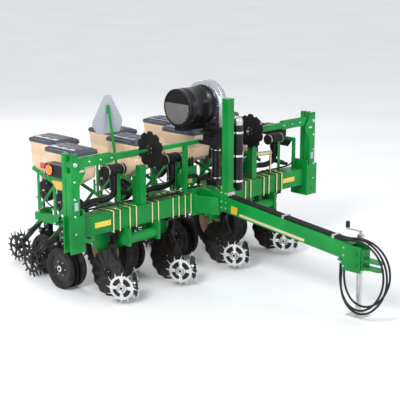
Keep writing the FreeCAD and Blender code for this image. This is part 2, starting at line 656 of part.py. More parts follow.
def lift_and_wheels():
    def arm(name, sign):
        tube_low, _ = sorted((sign * 630, sign * 1050))
        tube = rod(name + "_tube", "x", "lift_tube_r", (str(tube_low), "lift_y", "lift_z"), "420")
        low, high = sorted((sign * 872, sign * 900))
        bar = side_bar(name + "_bar", str(low), str(high), ("lift_y", "lift_z"), ("tyre_y", "tyre_r"), "80")
        end = rod(name + "_end", "x", "50", (str(low), "tyre_y", "tyre_r"), "28")
        pin_low, _ = sorted((sign * 680, sign * 880))
        pin = rod(name + "_pin", "x", "20", (str(pin_low), "tyre_y", "tyre_r"), "200")
        return fuse(name, [tube, bar, end, pin])

    def wheel(name, sign):
        low = f"{sign} * tyre_x - tyre_width / 2"
        tyre = ring(name + "_tyre", "x", "tyre_r", "rim_r", (low, "tyre_y", "tyre_r"), "tyre_width")
        rim = rod(name + "_rim", "x", "rim_r", (f"{sign} * tyre_x - 20", "tyre_y", "tyre_r"), "40")
        flange = ring(name + "_flange", "x", "rim_r", "rim_r - 8", (low, "tyre_y", "tyre_r"), "tyre_width")
        hub = rod(name + "_hub", "x", "55", (f"{sign} * tyre_x - 80", "tyre_y", "tyre_r"), "160")
        bore = rod(name + "_bore", "x", "20 + running_gap", (f"{sign} * tyre_x - 90", "tyre_y", "tyre_r"),
                   "180")
        return group(name,
                     [tyre, cut(name + "_centre", fuse(name + "_centre_weld", [rim, flange, hub]), bore)])

    node("lift_arms", both_sides(arm, "lift_arm"))
    node("transport_wheels", both_sides(wheel, "transport_wheel"))


lift_and_wheels()


# ---------------------------------------------------------------- coulters and row cleaners

def coulters():
    plate = rod("coulter_plate", "x", "coulter_r", ("-coulter_thick / 2", "coulter_y", "coulter_r"),
                "coulter_thick")
    hub = rod("coulter_hub", "x", "55", ("-28", "coulter_y", "coulter_r"), "56")
    bore = rod("coulter_bore", "x", "spindle_r + running_gap", ("-30", "coulter_y", "coulter_r"), "60")
    disc = cut("coulter_disc", fuse("coulter_weld", [plate, hub]), bore)
    node("coulters", [group(f"coulter_{k}", [disc], (row_x[k], "0", "0")) for k in row_x])


def row_cleaners():
    wheel = spoked_wheel("cleaner_wheel", "cleaner_r", 12, "92", "116", "6", "36", "22",
                         "pin_r + running_gap", "13")
    for k in row_x:
        for side, sign, turn in (("left", "-", "cleaner_toe"), ("right", "", "-cleaner_toe")):
            node(f"row{k}_cleaner_{side}", [wheel], x=f"{row_x[k]} + ({sign}cleaner_x)", y="cleaner_y",
                 z="cleaner_z", axis=(0, 0, 1), angle=turn)


coulters()
row_cleaners()


# ---------------------------------------------------------------- the four twin rows

def arms(level):
    """A pair of parallel arms with a cross tube and bored eyes."""
    height = f"{level}_arm_z"
    solids = [rod(f"{level}_cross", "x", "18", ("-arm_inner_x - 5", "(arm_front_y + arm_rear_y) / 2", height),
                  "2 * arm_inner_x + 10")]
    for side, low in (("left", "-arm_inner_x - arm_thick"), ("right", "arm_inner_x")):
        solids.append(block(f"{level}_bar_{side}", (low, "arm_front_y", f"{height} - arm_depth / 2"),
                            (f"{low} + arm_thick", "arm_rear_y", f"{height} + arm_depth / 2")))
        for end in ("front", "rear"):
            solids.append(rod(f"{level}_eye_{side}_{end}", "x", "arm_eye_r", (low, f"arm_{end}_y", height),
                              "arm_thick"))
    bores = [rod(f"{level}_bore_{end}", "x", "pin_r + running_gap",
                 ("-arm_inner_x - 30", f"arm_{end}_y", height),
                 "2 * arm_inner_x + 60") for end in ("front", "rear")]
    return cut(f"{level}_arms_body", fuse(f"{level}_arms_weld", solids), group(f"{level}_bores", bores))


def unit_steel():
    """One planting unit's shank, gauge-wheel arms, closing-wheel arm and hopper rails."""
    steel = [block("unit_shank", ("-9", "-20", "150"), ("9", "60", "640")),
             rod("opener_pin", "x", "12", ("-12", "0", "opener_r"), "24"),
             rod("gauge_pivot", "x", "20", ("-43", "80", "430"), "86"),
             block("shank_brace", ("-9", "50", "400"), ("9", "90", "560")),
             rod("rail_cross", "x", "16", ("-126", "0", "660"), "252"),
             block("shank_top", ("-20", "-30", "600"), ("20", "60", "670")),
             side_bar("closing_arm", "-12", "12", ("50", "590"), ("closing_y - 20", "closing_r + 25"), "50"),
             rod("closing_axle", "x", "pin_r", ("-62", "closing_y", "closing_r"), "124"),
             rod("closing_boss", "x", "30", ("-18", "closing_y", "closing_r"), "36")]
    for side, low in (("left", "-43"), ("right", "33")):
        steel.append(side_bar(f"gauge_arm_{side}", low, f"{low} + 10", ("0", "gauge_r"), ("80", "430"), "44"))
        steel.append(rod(f"gauge_arm_end_{side}", "x", "26", (low, "0", "gauge_r"), "10"))
    steel.append(rod("gauge_spindle_left", "x", "spindle_r", ("-gauge_x - 30", "0", "gauge_r"),
                     "gauge_x - 5"))
    steel.append(rod("gauge_spindle_right", "x", "spindle_r", ("35", "0", "gauge_r"), "gauge_x - 5"))
    for side, low in (("left", "-126"), ("right", "118")):
        high = f"{low} + 8"
        steel.append(side_bar(f"hopper_rail_{side}", low, high, ("-350", "960"), ("90", "1085"), "36"))
        steel.append(side_bar(f"hopper_leg_{side}", low, high, ("0", "1060"), ("0", "660"), "34"))
        steel.append(block(f"hopper_stub_{side}", (low, "-312", "960"), (high, "-288", "hopper_knee_z - 25")))
        steel.append(block(f"hopper_pad_{side}", (low, "50", "1070"), (high, "74", "hopper_knee_z - 25")))
        steel.append(side_bar(f"hopper_brace_{side}", low, high, ("-280", "980"), ("-10", "700"), "30"))
    return steel


def opener_discs():
    discs = []
    for side, sign in (("left", -1), ("right", 1)):
        flat = rod(f"opener_flat_{side}", "x", "opener_r", ("-1.5", "0", "0"), "3")
        discs.append(group(f"opener_{side}", [flat], (f"{sign} * 16", "0", "opener_r"), (0, 0, 1),
                           f"{-sign} * opener_toe"))
    return discs


def closing_wheel_pair(closing_wheel):
    return [group(f"closing_wheel_{side}", [closing_wheel], (f"{sign} * closing_x", "closing_y", "closing_r"))
            for side, sign in (("left", -1), ("right", 1))]


def row_frame(unit_places, closing_pair):
    """The beam that joins the two units of a row to the parallel arms, with all fixed unit parts."""
    steel = [block("head_plate", ("-130", "470", "470"), ("130", "484", "750")),
             block("main_beam", ("-28", "480", "560"), ("28", "1130", "640")),
             block("front_tie", ("-112", "552", "570"), ("-20", "592", "630")),
             block("rear_tie", ("20", "1072", "570"), ("112", "1112", "630"))]
    for side, low in (("left", "-58"), ("right", "40")):
        steel.append(block(f"head_lug_{side}", (low, "arm_rear_y - arm_eye_r", "490"),
                           (f"{low} + 18", "475", "730")))
    steel += [rod(f"head_pin_{level}", "x", "pin_r", ("-90", "arm_rear_y", f"{level}_arm_z"), "180")
              for level in ("lower", "upper")]
    unit = fuse("unit_weld", unit_steel())
    placed = [group(f"unit_{end}", [unit], at) for end, at in unit_places.items()]
    discs = opener_discs()
    disc_groups = [group(f"openers_{end}", discs, at) for end, at in unit_places.items()]
    front_closing = group("front_closing", closing_pair, unit_places["front"])
    return [fuse("row_weld", steel + placed), front_closing] + disc_groups


def hopper_shell():
    bottom = ("-50", "50", "-50", "50")
    knee = ("-hopper_knee_x", "hopper_knee_x", "hopper_y - hopper_knee_y", "hopper_y + hopper_knee_y")
    top = ("-hopper_top_x", "hopper_top_x", "hopper_y - hopper_top_y", "hopper_y + hopper_top_y")

    def inset(edges):
        return tuple(f"{edge} {sign} hopper_wall" for edge, sign in zip(edges, ("+", "-", "+", "-")))

    outer = fuse("hopper_outer",
                 [frustum("hopper_low_outer", bottom, knee, "hopper_floor_z", "hopper_knee_z"),
                                  frustum("hopper_high_outer", knee, top, "hopper_knee_z", "hopper_top_z")])
    inner = fuse("hopper_inner", [frustum("hopper_low_inner", inset(bottom), inset(knee),
                                          "hopper_floor_z + hopper_wall", "hopper_knee_z"),
                                  frustum("hopper_high_inner", inset(knee), inset(top), "hopper_knee_z",
                                          "hopper_top_z")])
    return cut("hopper_shell", outer, inner)


def hopper_with_meter():
    """Hopper shell, seed meter drum and seed tube of one unit."""
    meter = rod("meter_drum", "x", "meter_r", ("-45", "20", "meter_z"), "90")
    neck = block("meter_neck", ("-45", "-45", "meter_z + 60"), ("45", "45", "hopper_floor_z"))
    tube = block("seed_tube", ("16", "102", "330"), ("30", "124", "meter_z - 40"))
    return [hopper_shell(), fuse("meter", [meter, neck, tube])]


def lid():
    low = ("-lid_half_x", "lid_half_x", "hopper_y - lid_half_y", "hopper_y + lid_half_y")
    high = ("-lid_half_x + 9", "lid_half_x - 9", "hopper_y - lid_half_y + 9", "hopper_y + lid_half_y - 9")
    seat = "hopper_top_z + rest_gap"
    rim = frustum("lid_rim_body", low, high, seat, f"{seat} + lid_rim")
    crown = frustum("lid_crown", ("-115", "115", "hopper_y - 200", "hopper_y + 200"),
                    ("-105", "105", "hopper_y - 190",
                     "hopper_y + 190"), f"{seat} + lid_rim - 2", f"{seat} + 56")
    return fuse("lid_body", [rim, crown])


def gauge_wheel_pair():
    wheels = []
    for side, sign in (("left", -1), ("right", 1)):
        low = f"{sign} * gauge_x - gauge_width / 2"
        tyre = ring(f"gauge_tyre_{side}", "x", "gauge_r", "gauge_rim_r", (low, "0", "gauge_r"), "gauge_width")
        face = rod(f"gauge_face_{side}", "x", "gauge_rim_r", (f"{sign} * gauge_x - 10", "0", "gauge_r"), "20")
        edge = ring(f"gauge_edge_{side}", "x", "gauge_rim_r", "gauge_rim_r - 8", (low, "0", "gauge_r"),
                    "gauge_width")
        hub = rod(f"gauge_hub_{side}", "x", "38", (low, "0", "gauge_r"), "gauge_width")
        bore = rod(f"gauge_bore_{side}", "x", "spindle_r + running_gap", (f"{low} - 5", "0", "gauge_r"),
                   "gauge_width + 10")
        wheels += [tyre,
                   cut(f"gauge_centre_{side}", fuse(f"gauge_centre_weld_{side}", [face, edge, hub]), bore)]
    return wheels


def rows():
    unit_places = {"front": ("-twin_half", "front_opener_y", "0"),
                   "rear": ("twin_half", "rear_opener_y", "0")}
    lower, upper = arms("lower"), arms("upper")
    closing_wheel = spoked_wheel("closing_spiked", "closing_r", 14, "96", "122", "8", "34", "21",
                                 "pin_r + running_gap", "16")
    closing_pair = closing_wheel_pair(closing_wheel)
    frame_parts = row_frame(unit_places, closing_pair)
    rear_closing = group("rear_closing", closing_pair, unit_places["rear"])
    hopper_parts, lid_part, gauge_pair = hopper_with_meter(), lid(), gauge_wheel_pair()
    hoppers = [group(f"hopper_{end}", hopper_parts, at) for end, at in unit_places.items()]
    lids = [group(f"lid_{end}", [lid_part], at) for end, at in unit_places.items()]
    gauges = {end: group(f"gauge_{end}", gauge_pair, at) for end, at in unit_places.items()}
    for k in row_x:
        node(f"row{k}_lower_arms", [lower], x=row_x[k])
        node(f"row{k}_upper_arms", [upper], x=row_x[k])
        node(f"row{k}_frame", frame_parts, x=row_x[k])
        node(f"row{k}_hoppers", hoppers, x=row_x[k])
        node(f"row{k}_lids", lids, x=row_x[k])
        node(f"row{k}_front_gauge_wheels", [gauges["front"]], x=row_x[k])
        node(f"row{k}_rear_gauge_wheels", [gauges["rear"]], x=row_x[k])
        node(f"row{k}_closing_wheels", [rear_closing], x=row_x[k])


rows()


# ---------------------------------------------------------------- hydraulic hoses

# Each hose lies in the clamps along the tongue, passes over the hitch, hangs in front of it and
# comes back up to the holder under the tongue. Points are (x, y, z) about the toolbar's centre.
HOSE_ROUTES = {
    "left": [(-30, -480, 876), (-30, -1800, 727), (-34, -1915, 724), (-42, -2030, 742), (-50, -2150, 730),
             (-55, -2262, 672), (-56, -2335, 575), (-57, -2362, 450), (-58, -2340, 325), (-58, -2275, 210),
             (-57, -2180, 130), (-56, -2070, 100), (-53, -1968, 135), (-45, -1898, 225), (-36, -1866, 330),
             (-29, -1860, 430), (-28, -1860, 521)],
    "middle": [(0, -480, 876), (0, -1800, 727), (-5, -1915, 728), (-14, -2030, 755), (-24, -2155, 744),
               (-31, -2275, 682), (-33, -2352, 580), (-33, -2382, 450), (-34, -2362, 310), (-34, -2290, 185),
               (-34, -2190, 95), (-33, -2070, 62), (-30, -1955, 100), (-22, -1880, 200), (-10, -1852, 315),
               (-1, -1856, 425), (0, -1860, 521)],
    "right": [(30, -480, 876), (30, -1800, 727), (32, -1915, 726), (34, -2030, 745), (35, -2145, 734),
              (36, -2258, 678), (36, -2335, 585), (32, -2368, 460), (20, -2352, 345), (6, -2295, 235),
              (-5, -2205, 160), (-10, -2095, 132), (-10, -1990, 162), (-6, -1915, 245), (10, -1875, 345),
              (26, -1862, 440), (28, -1860, 521)],
}


def hose(name, points, radius):
    """A round hose along straight runs joined by tangent arcs, as large as the runs allow."""
    stops = [FreeCAD.Vector(*point) for point in points]
    edges, tightest = [], None
    start = stops[0]
    for before, corner, after in zip(stops, stops[1:], stops[2:]):
        into, out = corner - before, after - corner
        turn = into.getAngle(out)
        tangent = 0.45 * min(into.Length, out.Length)
        bend = tangent / math.tan(turn / 2)
        tightest = bend if tightest is None else min(tightest, bend)
        into.normalize()
        out.normalize()
        first, last = corner - into * tangent, corner + out * tangent
        sideways = out - into
        sideways.normalize()
        middle = corner + sideways * (bend / math.cos(turn / 2) - bend)
        edges += [Part.LineSegment(start, first).toShape(), Part.Arc(first, middle, last).toShape()]
        start = last
    edges.append(Part.LineSegment(start, stops[-1]).toShape())
    path = Part.Wire(edges)
    along = stops[1] - stops[0]
    section = Part.Wire([Part.makeCircle(radius, stops[0], along)])
    tube = path.makePipeShell([section], True, False)
    full = math.pi * radius ** 2 * path.Length
    print(f"{name}: length {path.Length:.0f}, tightest bend {tightest:.0f}, volume ratio {tube.Volume / full:.4f}")
    return tube


def hydraulic_hoses():
    tubes = [hose(f"hose_{side}", points, dim("hose_r")) for side, points in HOSE_ROUTES.items()]
    piece = add("Part::Feature", "hydraulic_hoses")
    piece.Label = "hydraulic_hoses"
    piece.Shape = Part.makeCompound(tubes)
    piece.Placement = FreeCAD.Placement(FreeCAD.Vector(0, dim("toolbar_y"), 0), FreeCAD.Rotation())
    nodes.append(piece)


hydraulic_hoses()


# ---------------------------------------------------------------- checks and files

doc.recompute()
faults = [piece.Name for piece in doc.Objects if {"Invalid", "Error"} & set(piece.State)]
for piece in nodes:
    if piece.Shape.isNull() or not piece.Shape.isValid() or not piece.Shape.Solids:
        faults.append(piece.Label)
if faults:
    raise RuntimeError(f"not built: {faults}")
os.makedirs("parts", exist_ok=True)
whole = FreeCAD.BoundBox()
for piece in nodes:
    piece.Shape.exportStep(f"parts/{piece.Label}.step")
    if piece.Label != "hydraulic_hoses":
        whole.add(piece.Shape.BoundBox)
print(f"{len(nodes)} sub-parts, x {whole.XMin:.1f}..{whole.XMax:.1f}, y {whole.YMin:.1f}..{whole.YMax:.1f}, "
      f"z {whole.ZMin:.1f}..{whole.ZMax:.1f}")
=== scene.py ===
import math

import bmesh
import bpy
from mathutils import Matrix, Vector


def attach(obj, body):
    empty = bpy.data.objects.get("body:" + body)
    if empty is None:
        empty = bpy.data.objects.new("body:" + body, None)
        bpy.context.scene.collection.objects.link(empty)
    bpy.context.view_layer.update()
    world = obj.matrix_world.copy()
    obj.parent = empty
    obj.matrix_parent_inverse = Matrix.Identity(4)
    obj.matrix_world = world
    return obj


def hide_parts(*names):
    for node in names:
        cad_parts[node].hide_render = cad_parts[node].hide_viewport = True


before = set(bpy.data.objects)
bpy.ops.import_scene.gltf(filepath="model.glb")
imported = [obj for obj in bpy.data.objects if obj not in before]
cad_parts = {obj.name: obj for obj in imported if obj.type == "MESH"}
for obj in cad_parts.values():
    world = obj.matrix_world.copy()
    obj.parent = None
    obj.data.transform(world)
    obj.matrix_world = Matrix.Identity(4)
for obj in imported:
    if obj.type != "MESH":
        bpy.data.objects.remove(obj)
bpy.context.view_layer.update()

# The repeated parts, in metres in the machine's frame: each row's middle across the machine, half the
# distance between the twin rows, the toolbar's middle, and the openers of the front and rear units.
ROW_SPACING = 0.762
ROWS = {k: ROW_SPACING * (k - 2.5) for k in (1, 2, 3, 4)}
TWIN = 0.1016
BAR_Y = 0.280
FRONT_Y, REAR_Y = 0.822, 1.342
UNITS = {"front": (-TWIN, FRONT_Y), "rear": (TWIN, REAR_Y)}
SIDES = {"left": -1, "right": 1}
# Heights of the gauge wheels' axles and of the meters, and how far each hopper stands ahead of its openers.
WHEEL_Z = 0.203
METER_Z = 0.850
HOPPER_SHIFT = 0.113


# ---------------------------------------------------------------- camera, floor and light

def aim_camera():
    camera = bpy.data.objects.new("camera", bpy.data.cameras.new("camera"))
    bpy.context.scene.collection.objects.link(camera)
    right = Vector((0.70767, -0.70654, 0.0)).normalized()
    forward = Vector((0.68641, 0.68751, -0.23700)).normalized()
    up = right.cross(forward)
    turn = Matrix((right, up, -forward)).transposed()
    camera.matrix_world = Matrix.Translation((-7.9157, -7.6959, 3.4930)) @ turn.to_4x4()
    camera.data.lens = 103.57
    camera.data.sensor_width = 36.0
    camera.data.clip_end = 100.0
    bpy.context.scene.camera = camera
    bpy.context.scene.view_settings.view_transform = "Standard"


def area_light(name, place, target, size, power, colour=(1, 1, 1)):
    lamp = bpy.data.lights.new(name, "AREA")
    lamp.shape = "DISK"
    lamp.size = size
    lamp.energy = power
    lamp.color = colour
    holder = bpy.data.objects.new(name, lamp)
    bpy.context.scene.collection.objects.link(holder)
    holder.location = place
    holder.rotation_euler = (Vector(target) - Vector(place)).to_track_quat("-Z", "Y").to_euler()


def studio():
    world = bpy.data.worlds.new("studio")
    world.use_nodes = True
    world.node_tree.nodes["Background"].inputs["Color"].default_value = (0.97, 0.98, 1.0, 1)
    world.node_tree.nodes["Background"].inputs["Strength"].default_value = 0.9
    bpy.context.scene.world = world
    middle = (0, 0.4, 0.7)
    area_light("key", (-7.5, -3.0, 7.0), middle, 3.0, 650)
    area_light("fill", (3.5, -8.5, 4.5), middle, 5.0, 160)
    area_light("back", (2.0, 8.0, 6.0), middle, 4.0, 260)
    sheet = bmesh.new()
    bmesh.ops.create_grid(sheet, x_segments=1, y_segments=1, size=40.0)
    floor = link("floor", sheet)
    floor.data.materials.append(floor_material())


def link(name, shape):
    """A new object from a bmesh."""
    mesh = bpy.data.meshes.new(name)
    shape.to_mesh(mesh)
    shape.free()
    made = bpy.data.objects.new(name, mesh)
    bpy.context.scene.collection.objects.link(made)
    return made


# ---------------------------------------------------------------- materials

class Graph:
    """A material's node tree with short ways to add the usual nodes."""

    def __init__(self, name):
        self.material = bpy.data.materials.new(name)
        self.material.use_nodes = True
        self.tree = self.material.node_tree
        self.shader = self.tree.nodes["Principled BSDF"]
        self.place = self.add("ShaderNodeTexCoord").outputs["Object"]

    def add(self, kind, **settings):
        made = self.tree.nodes.new(kind)
        for key, value in settings.items():
            setattr(made, key, value)
        return made

    def join(self, source, target):
        self.tree.links.new(source, target)

    def set(self, **values):
        for key, value in values.items():
            self.shader.inputs[key.replace("_", " ")].default_value = value

    def stretched(self, scale):
        mapping = self.add("ShaderNodeMapping")
        mapping.inputs["Scale"].default_value = scale
        self.join(self.place, mapping.inputs["Vector"])
        return mapping.outputs["Vector"]

    def noise(self, scale, detail=4.0, roughness=0.55, vector=None):
        made = self.add("ShaderNodeTexNoise")
        made.inputs["Scale"].default_value = scale
        made.inputs["Detail"].default_value = detail
        made.inputs["Roughness"].default_value = roughness
        self.join(vector or self.place, made.inputs["Vector"])
        return made.outputs["Fac"]

    def ramp(self, source, low, high, out_low=0.0, out_high=1.0):
        made = self.add("ShaderNodeMapRange")
        for key, value in (("From Min", low), ("From Max", high), ("To Min", out_low), ("To Max", out_high)):
            made.inputs[key].default_value = value
        self.join(source, made.inputs["Value"])
        return made.outputs["Result"]

    def maths(self, kind, first, second):
        made = self.add("ShaderNodeMath", operation=kind)
        for index, value in enumerate((first, second)):
            if isinstance(value, (int, float)):
                made.inputs[index].default_value = value
            else:
                self.join(value, made.inputs[index])
        return made.outputs["Value"]

    def mix(self, factor, first, second):
        """Colours mixed by a socket or a number."""
        made = self.add("ShaderNodeMix", data_type="RGBA")
        for index, value in ((0, factor), (6, first), (7, second)):
            if isinstance(value, (int, float)):
                made.inputs[index].default_value = value
            elif isinstance(value, tuple):
                made.inputs[index].default_value = (*value, 1.0)
            else:
                self.join(value, made.inputs[index])
        return made.outputs[2]

    def edges(self, radius):
        """A rounded normal, and a mask that is 1 on the edges it rounds."""
        rounded = self.add("ShaderNodeBevel", samples=4)
        rounded.inputs["Radius"].default_value = radius
        true = self.add("ShaderNodeNewGeometry")
        dot = self.add("ShaderNodeVectorMath", operation="DOT_PRODUCT")
        self.join(rounded.outputs["Normal"], dot.inputs[0])
        self.join(true.outputs["Normal"], dot.inputs[1])
        return rounded.outputs["Normal"], self.ramp(dot.outputs["Value"], 0.995, 0.86)

    def bump(self, height, strength, distance, normal=None):
        made = self.add("ShaderNodeBump")
        made.inputs["Strength"].default_value = strength
        made.inputs["Distance"].default_value = distance
        self.join(height, made.inputs["Height"])
        if normal:
            self.join(normal, made.inputs["Normal"])
        self.join(made.outputs["Normal"], self.shader.inputs["Normal"])

    def height_mask(self, low, high):
        """1 near the ground, falling to 0 at a height, broken up by noise."""
        split = self.add("ShaderNodeSeparateXYZ")
        self.join(self.place, split.inputs["Vector"])
        level = self.ramp(split.outputs["Z"], low, high, 1.0, 0.0)
        return self.maths("MULTIPLY", level, self.ramp(self.noise(9.0, 6.0), 0.35, 0.7))


def painted(name, colour, rough=0.3, radius=0.003, edge=(0.35, 0.45, 0.36), edge_amount=0.35, coat=0.5,
            dust=0.25):
    """Sprayed paint on steel: slight orange peel, paler edges that are partly rubbed wear and partly a
    painted highlight, and a little dust low down.
    """
    g = Graph(name)
    normal, edge_mask = g.edges(radius)
    shade = tuple(c * 0.72 for c in colour)
    light = tuple(min(1.0, c * 1.18 + 0.004) for c in colour)
    base = g.mix(g.ramp(g.noise(2.4, 5.0), 0.35, 0.65), shade, light)
    # Paler edges broken up by noise: partly rubbed wear, partly a painted highlight.
    edge_wear_and_highlight = g.maths("MULTIPLY", edge_mask, g.ramp(g.noise(38.0, 5.0), 0.42, 0.66, 0.15, edge_amount))
    base = g.mix(edge_wear_and_highlight, base, edge)
    base = g.mix(g.maths("MULTIPLY", g.height_mask(0.1, 0.8), dust), base, (0.33, 0.28, 0.22))
    g.join(base, g.shader.inputs["Base Color"])
    g.join(g.ramp(g.noise(22.0, 4.0), 0.3, 0.7, rough * 0.75, rough * 1.35), g.shader.inputs["Roughness"])
    g.set(Coat_Weight=coat, Coat_Roughness=0.12, Specular_IOR_Level=0.2)
    g.bump(g.noise(420.0, 2.0), 0.06, 0.0006, normal)
    return g.material


def plastic(name, colour, rough, grain, radius=0.004, mottling=0.12, dust=0.0):
    """Moulded plastic with a fine grain, slightly uneven colour and a painted highlight on its edges."""
    g = Graph(name)
    normal, edge_mask = g.edges(radius)
    shade = tuple(c * (1 - mottling) for c in colour)
    light = tuple(min(1.0, c * (1 + mottling)) for c in colour)
    base = g.mix(g.ramp(g.noise(5.0, 6.0), 0.32, 0.68), shade, light)
    # Lighter edges: a painted highlight along the rounded edges.
    base = g.mix(g.maths("MULTIPLY", edge_mask, 0.3), base, tuple(min(1.0, c * 1.5 + 0.02) for c in colour))
    if dust:
        base = g.mix(g.maths("MULTIPLY", g.height_mask(0.1, 1.0), dust), base, (0.3, 0.25, 0.2))
    g.join(base, g.shader.inputs["Base Color"])
    g.join(g.ramp(g.noise(30.0, 3.0), 0.3, 0.7, rough * 0.85, rough * 1.15), g.shader.inputs["Roughness"])
    g.bump(g.noise(grain, 3.0), 0.22, 0.0008, normal)
    g.set(Specular_IOR_Level=0.28)
    return g.material


def metal(name, colour, rough, stretch=(1, 1, 1), grain=90.0, spots=None, radius=0.0015):
    """Bare or plated metal: brushed or spangled, with darker stains."""
    g = Graph(name)
    normal, _ = g.edges(radius)
    lines = g.noise(grain, 3.0, vector=g.stretched(stretch))
    base = g.mix(g.ramp(lines, 0.3, 0.7), tuple(c * 0.78 for c in colour), colour)
    if spots:
        base = g.mix(g.ramp(g.noise(14.0, 6.0), 0.52, 0.72, 0.0, 0.7), base, spots)
    g.join(base, g.shader.inputs["Base Color"])
    g.set(Metallic=1.0)
    g.join(g.ramp(lines, 0.3, 0.7, rough * 0.7, rough * 1.4), g.shader.inputs["Roughness"])
    g.bump(lines, 0.12, 0.0004, normal)
    return g.material


def rubber(name, colour, rough, dust):
    g = Graph(name)
    normal, edge_mask = g.edges(0.003)
    base = g.mix(g.ramp(g.noise(7.0, 6.0), 0.35, 0.65), colour, tuple(c * 1.7 + 0.004 for c in colour))
    base = g.mix(g.maths("MULTIPLY", g.ramp(g.noise(16.0, 7.0), 0.48, 0.72), dust), base, (0.28, 0.24, 0.19))
    # Greyer edges: a painted highlight along the rounded edges of the rubber.
    base = g.mix(g.maths("MULTIPLY", edge_mask, 0.25), base, (0.13, 0.13, 0.13))
    g.join(base, g.shader.inputs["Base Color"])
    g.join(g.ramp(g.noise(60.0, 3.0), 0.3, 0.7, rough * 0.85, min(1.0, rough * 1.15)),
           g.shader.inputs["Roughness"])
    g.bump(g.noise(260.0, 3.0), 0.3, 0.0006, normal)
    g.set(Specular_IOR_Level=0.22)
    return g.material


def lens(name, colour, glow):
    """Coloured lens with moulded prisms and a faint emission glow; on the slow-vehicle sign, which is no
    lamp, the glow is painted light.
    """
    g = Graph(name)
    waves = g.add("ShaderNodeTexWave", wave_type="BANDS", bands_direction="Z")
    waves.inputs["Scale"].default_value = 60.0
    g.join(g.place, waves.inputs["Vector"])
    g.join(g.mix(g.ramp(waves.outputs["Fac"], 0.2, 0.8), tuple(c * 0.6 for c in colour), colour),
           g.shader.inputs["Base Color"])
    g.set(Roughness=0.16, Coat_Weight=0.8, Emission_Strength=glow, Emission_Color=(*colour, 1.0))
    g.bump(waves.outputs["Fac"], 0.5, 0.001)
    return g.material


def reflector(name, colour):
    """Retroreflective sheet: a fine honeycomb of cells under a clear film."""
    g = Graph(name)
    cells = g.add("ShaderNodeTexVoronoi", feature="DISTANCE_TO_EDGE")
    cells.inputs["Scale"].default_value = 180.0
    g.join(g.place, cells.inputs["Vector"])
    line = g.ramp(cells.outputs["Distance"], 0.0, 0.12)
    g.join(g.mix(line, tuple(c * 0.55 for c in colour), colour), g.shader.inputs["Base Color"])
    g.set(Roughness=0.3, Coat_Weight=0.6)
    g.bump(line, 0.2, 0.0005)
    return g.material


def floor_material():
    g = Graph("studio_floor")
    base = g.mix(g.ramp(g.noise(0.6, 3.0), 0.3, 0.7), (0.80, 0.81, 0.83), (0.84, 0.85, 0.87))
    g.join(base, g.shader.inputs["Base Color"])
    g.set(Roughness=0.7)
    return g.material


MATERIALS = {
    # The edge colours below tint the paler edges in painted(): partly rubbed wear, partly a painted
    # highlight.
    "green": (painted("green_paint", (0.0004, 0.225, 0.035), 0.34, edge=(0.08, 0.45, 0.15), coat=0.12,
                      dust=0.04), "green_paint"),
    "black": (painted("black_paint", (0.008, 0.008, 0.010), 0.30, edge=(0.14, 0.14, 0.15), coat=0.12,
                      dust=0.05), "black_steel"),
    "casting": (painted("black_casting", (0.009, 0.008, 0.009), 0.45, 0.004, (0.12, 0.12, 0.12), 0.3, 0.05,
                        0.06), "black_steel"),
    "zinc": (metal("zinc_plate", (0.66, 0.67, 0.66), 0.36, grain=70.0, spots=(0.42, 0.43, 0.42)),
             "zinc_plate"),
    "gold": (metal("yellow_zinc", (0.88, 0.80, 0.46), 0.34, grain=80.0, spots=(0.7, 0.62, 0.35)),
             "zinc_plate"),
    "bright": (metal("bright_steel", (0.80, 0.80, 0.81), 0.2, (1, 1, 6), 50.0, (0.5, 0.48, 0.46)),
               "bright_steel"),
    "disc": (painted("disc_steel", (0.012, 0.010, 0.010), 0.34, 0.001, (0.22, 0.21, 0.2), 0.5, 0.12, 0.08),
             "disc_steel"),
    "alu": (metal("cast_aluminium", (0.60, 0.62, 0.67), 0.26, (1, 1, 1), 60.0, (0.34, 0.36, 0.40)),
            "cast_aluminium"),
    "beige": (plastic("beige_plastic", (0.72, 0.53, 0.36), 0.5, 210.0, mottling=0.07), "beige_plastic"),
    "lid": (plastic("slate_plastic", (0.060, 0.070, 0.098), 0.28, 320.0, mottling=0.18), "black_plastic"),
    "plastic": (plastic("black_plastic", (0.009, 0.009, 0.011), 0.38, 300.0, mottling=0.3, dust=0.04),
                "black_plastic"),
    "tyre": (rubber("tyre_rubber", (0.010, 0.009, 0.010), 0.62, 0.07), "tyre_rubber"),
    "hose": (rubber("black_rubber", (0.007, 0.007, 0.008), 0.36, 0.03), "black_rubber"),
    "amber": (lens("signal_amber", (0.95, 0.22, 0.01), 0.25), "signal_amber"),
    "red": (lens("signal_red", (0.72, 0.015, 0.01), 0.15), "signal_amber"),
    "yellow": (reflector("yellow_reflector", (0.85, 0.62, 0.03)), "signal_amber"),
    "cream": (reflector("cream_stripe", (0.66, 0.55, 0.34)), "green_paint"),
    "orange": (reflector("orange_plate", (0.80, 0.42, 0.04)), "signal_amber"),
    "screen": (plastic("dull_screen", (0.13, 0.125, 0.12), 0.5, 160.0), "black_plastic"),
    "sign": (plastic("sign_back", (0.40, 0.43, 0.48), 0.45, 200.0, mottling=0.06), "zinc_plate"),
}


# ---------------------------------------------------------------- hydraulic hoses

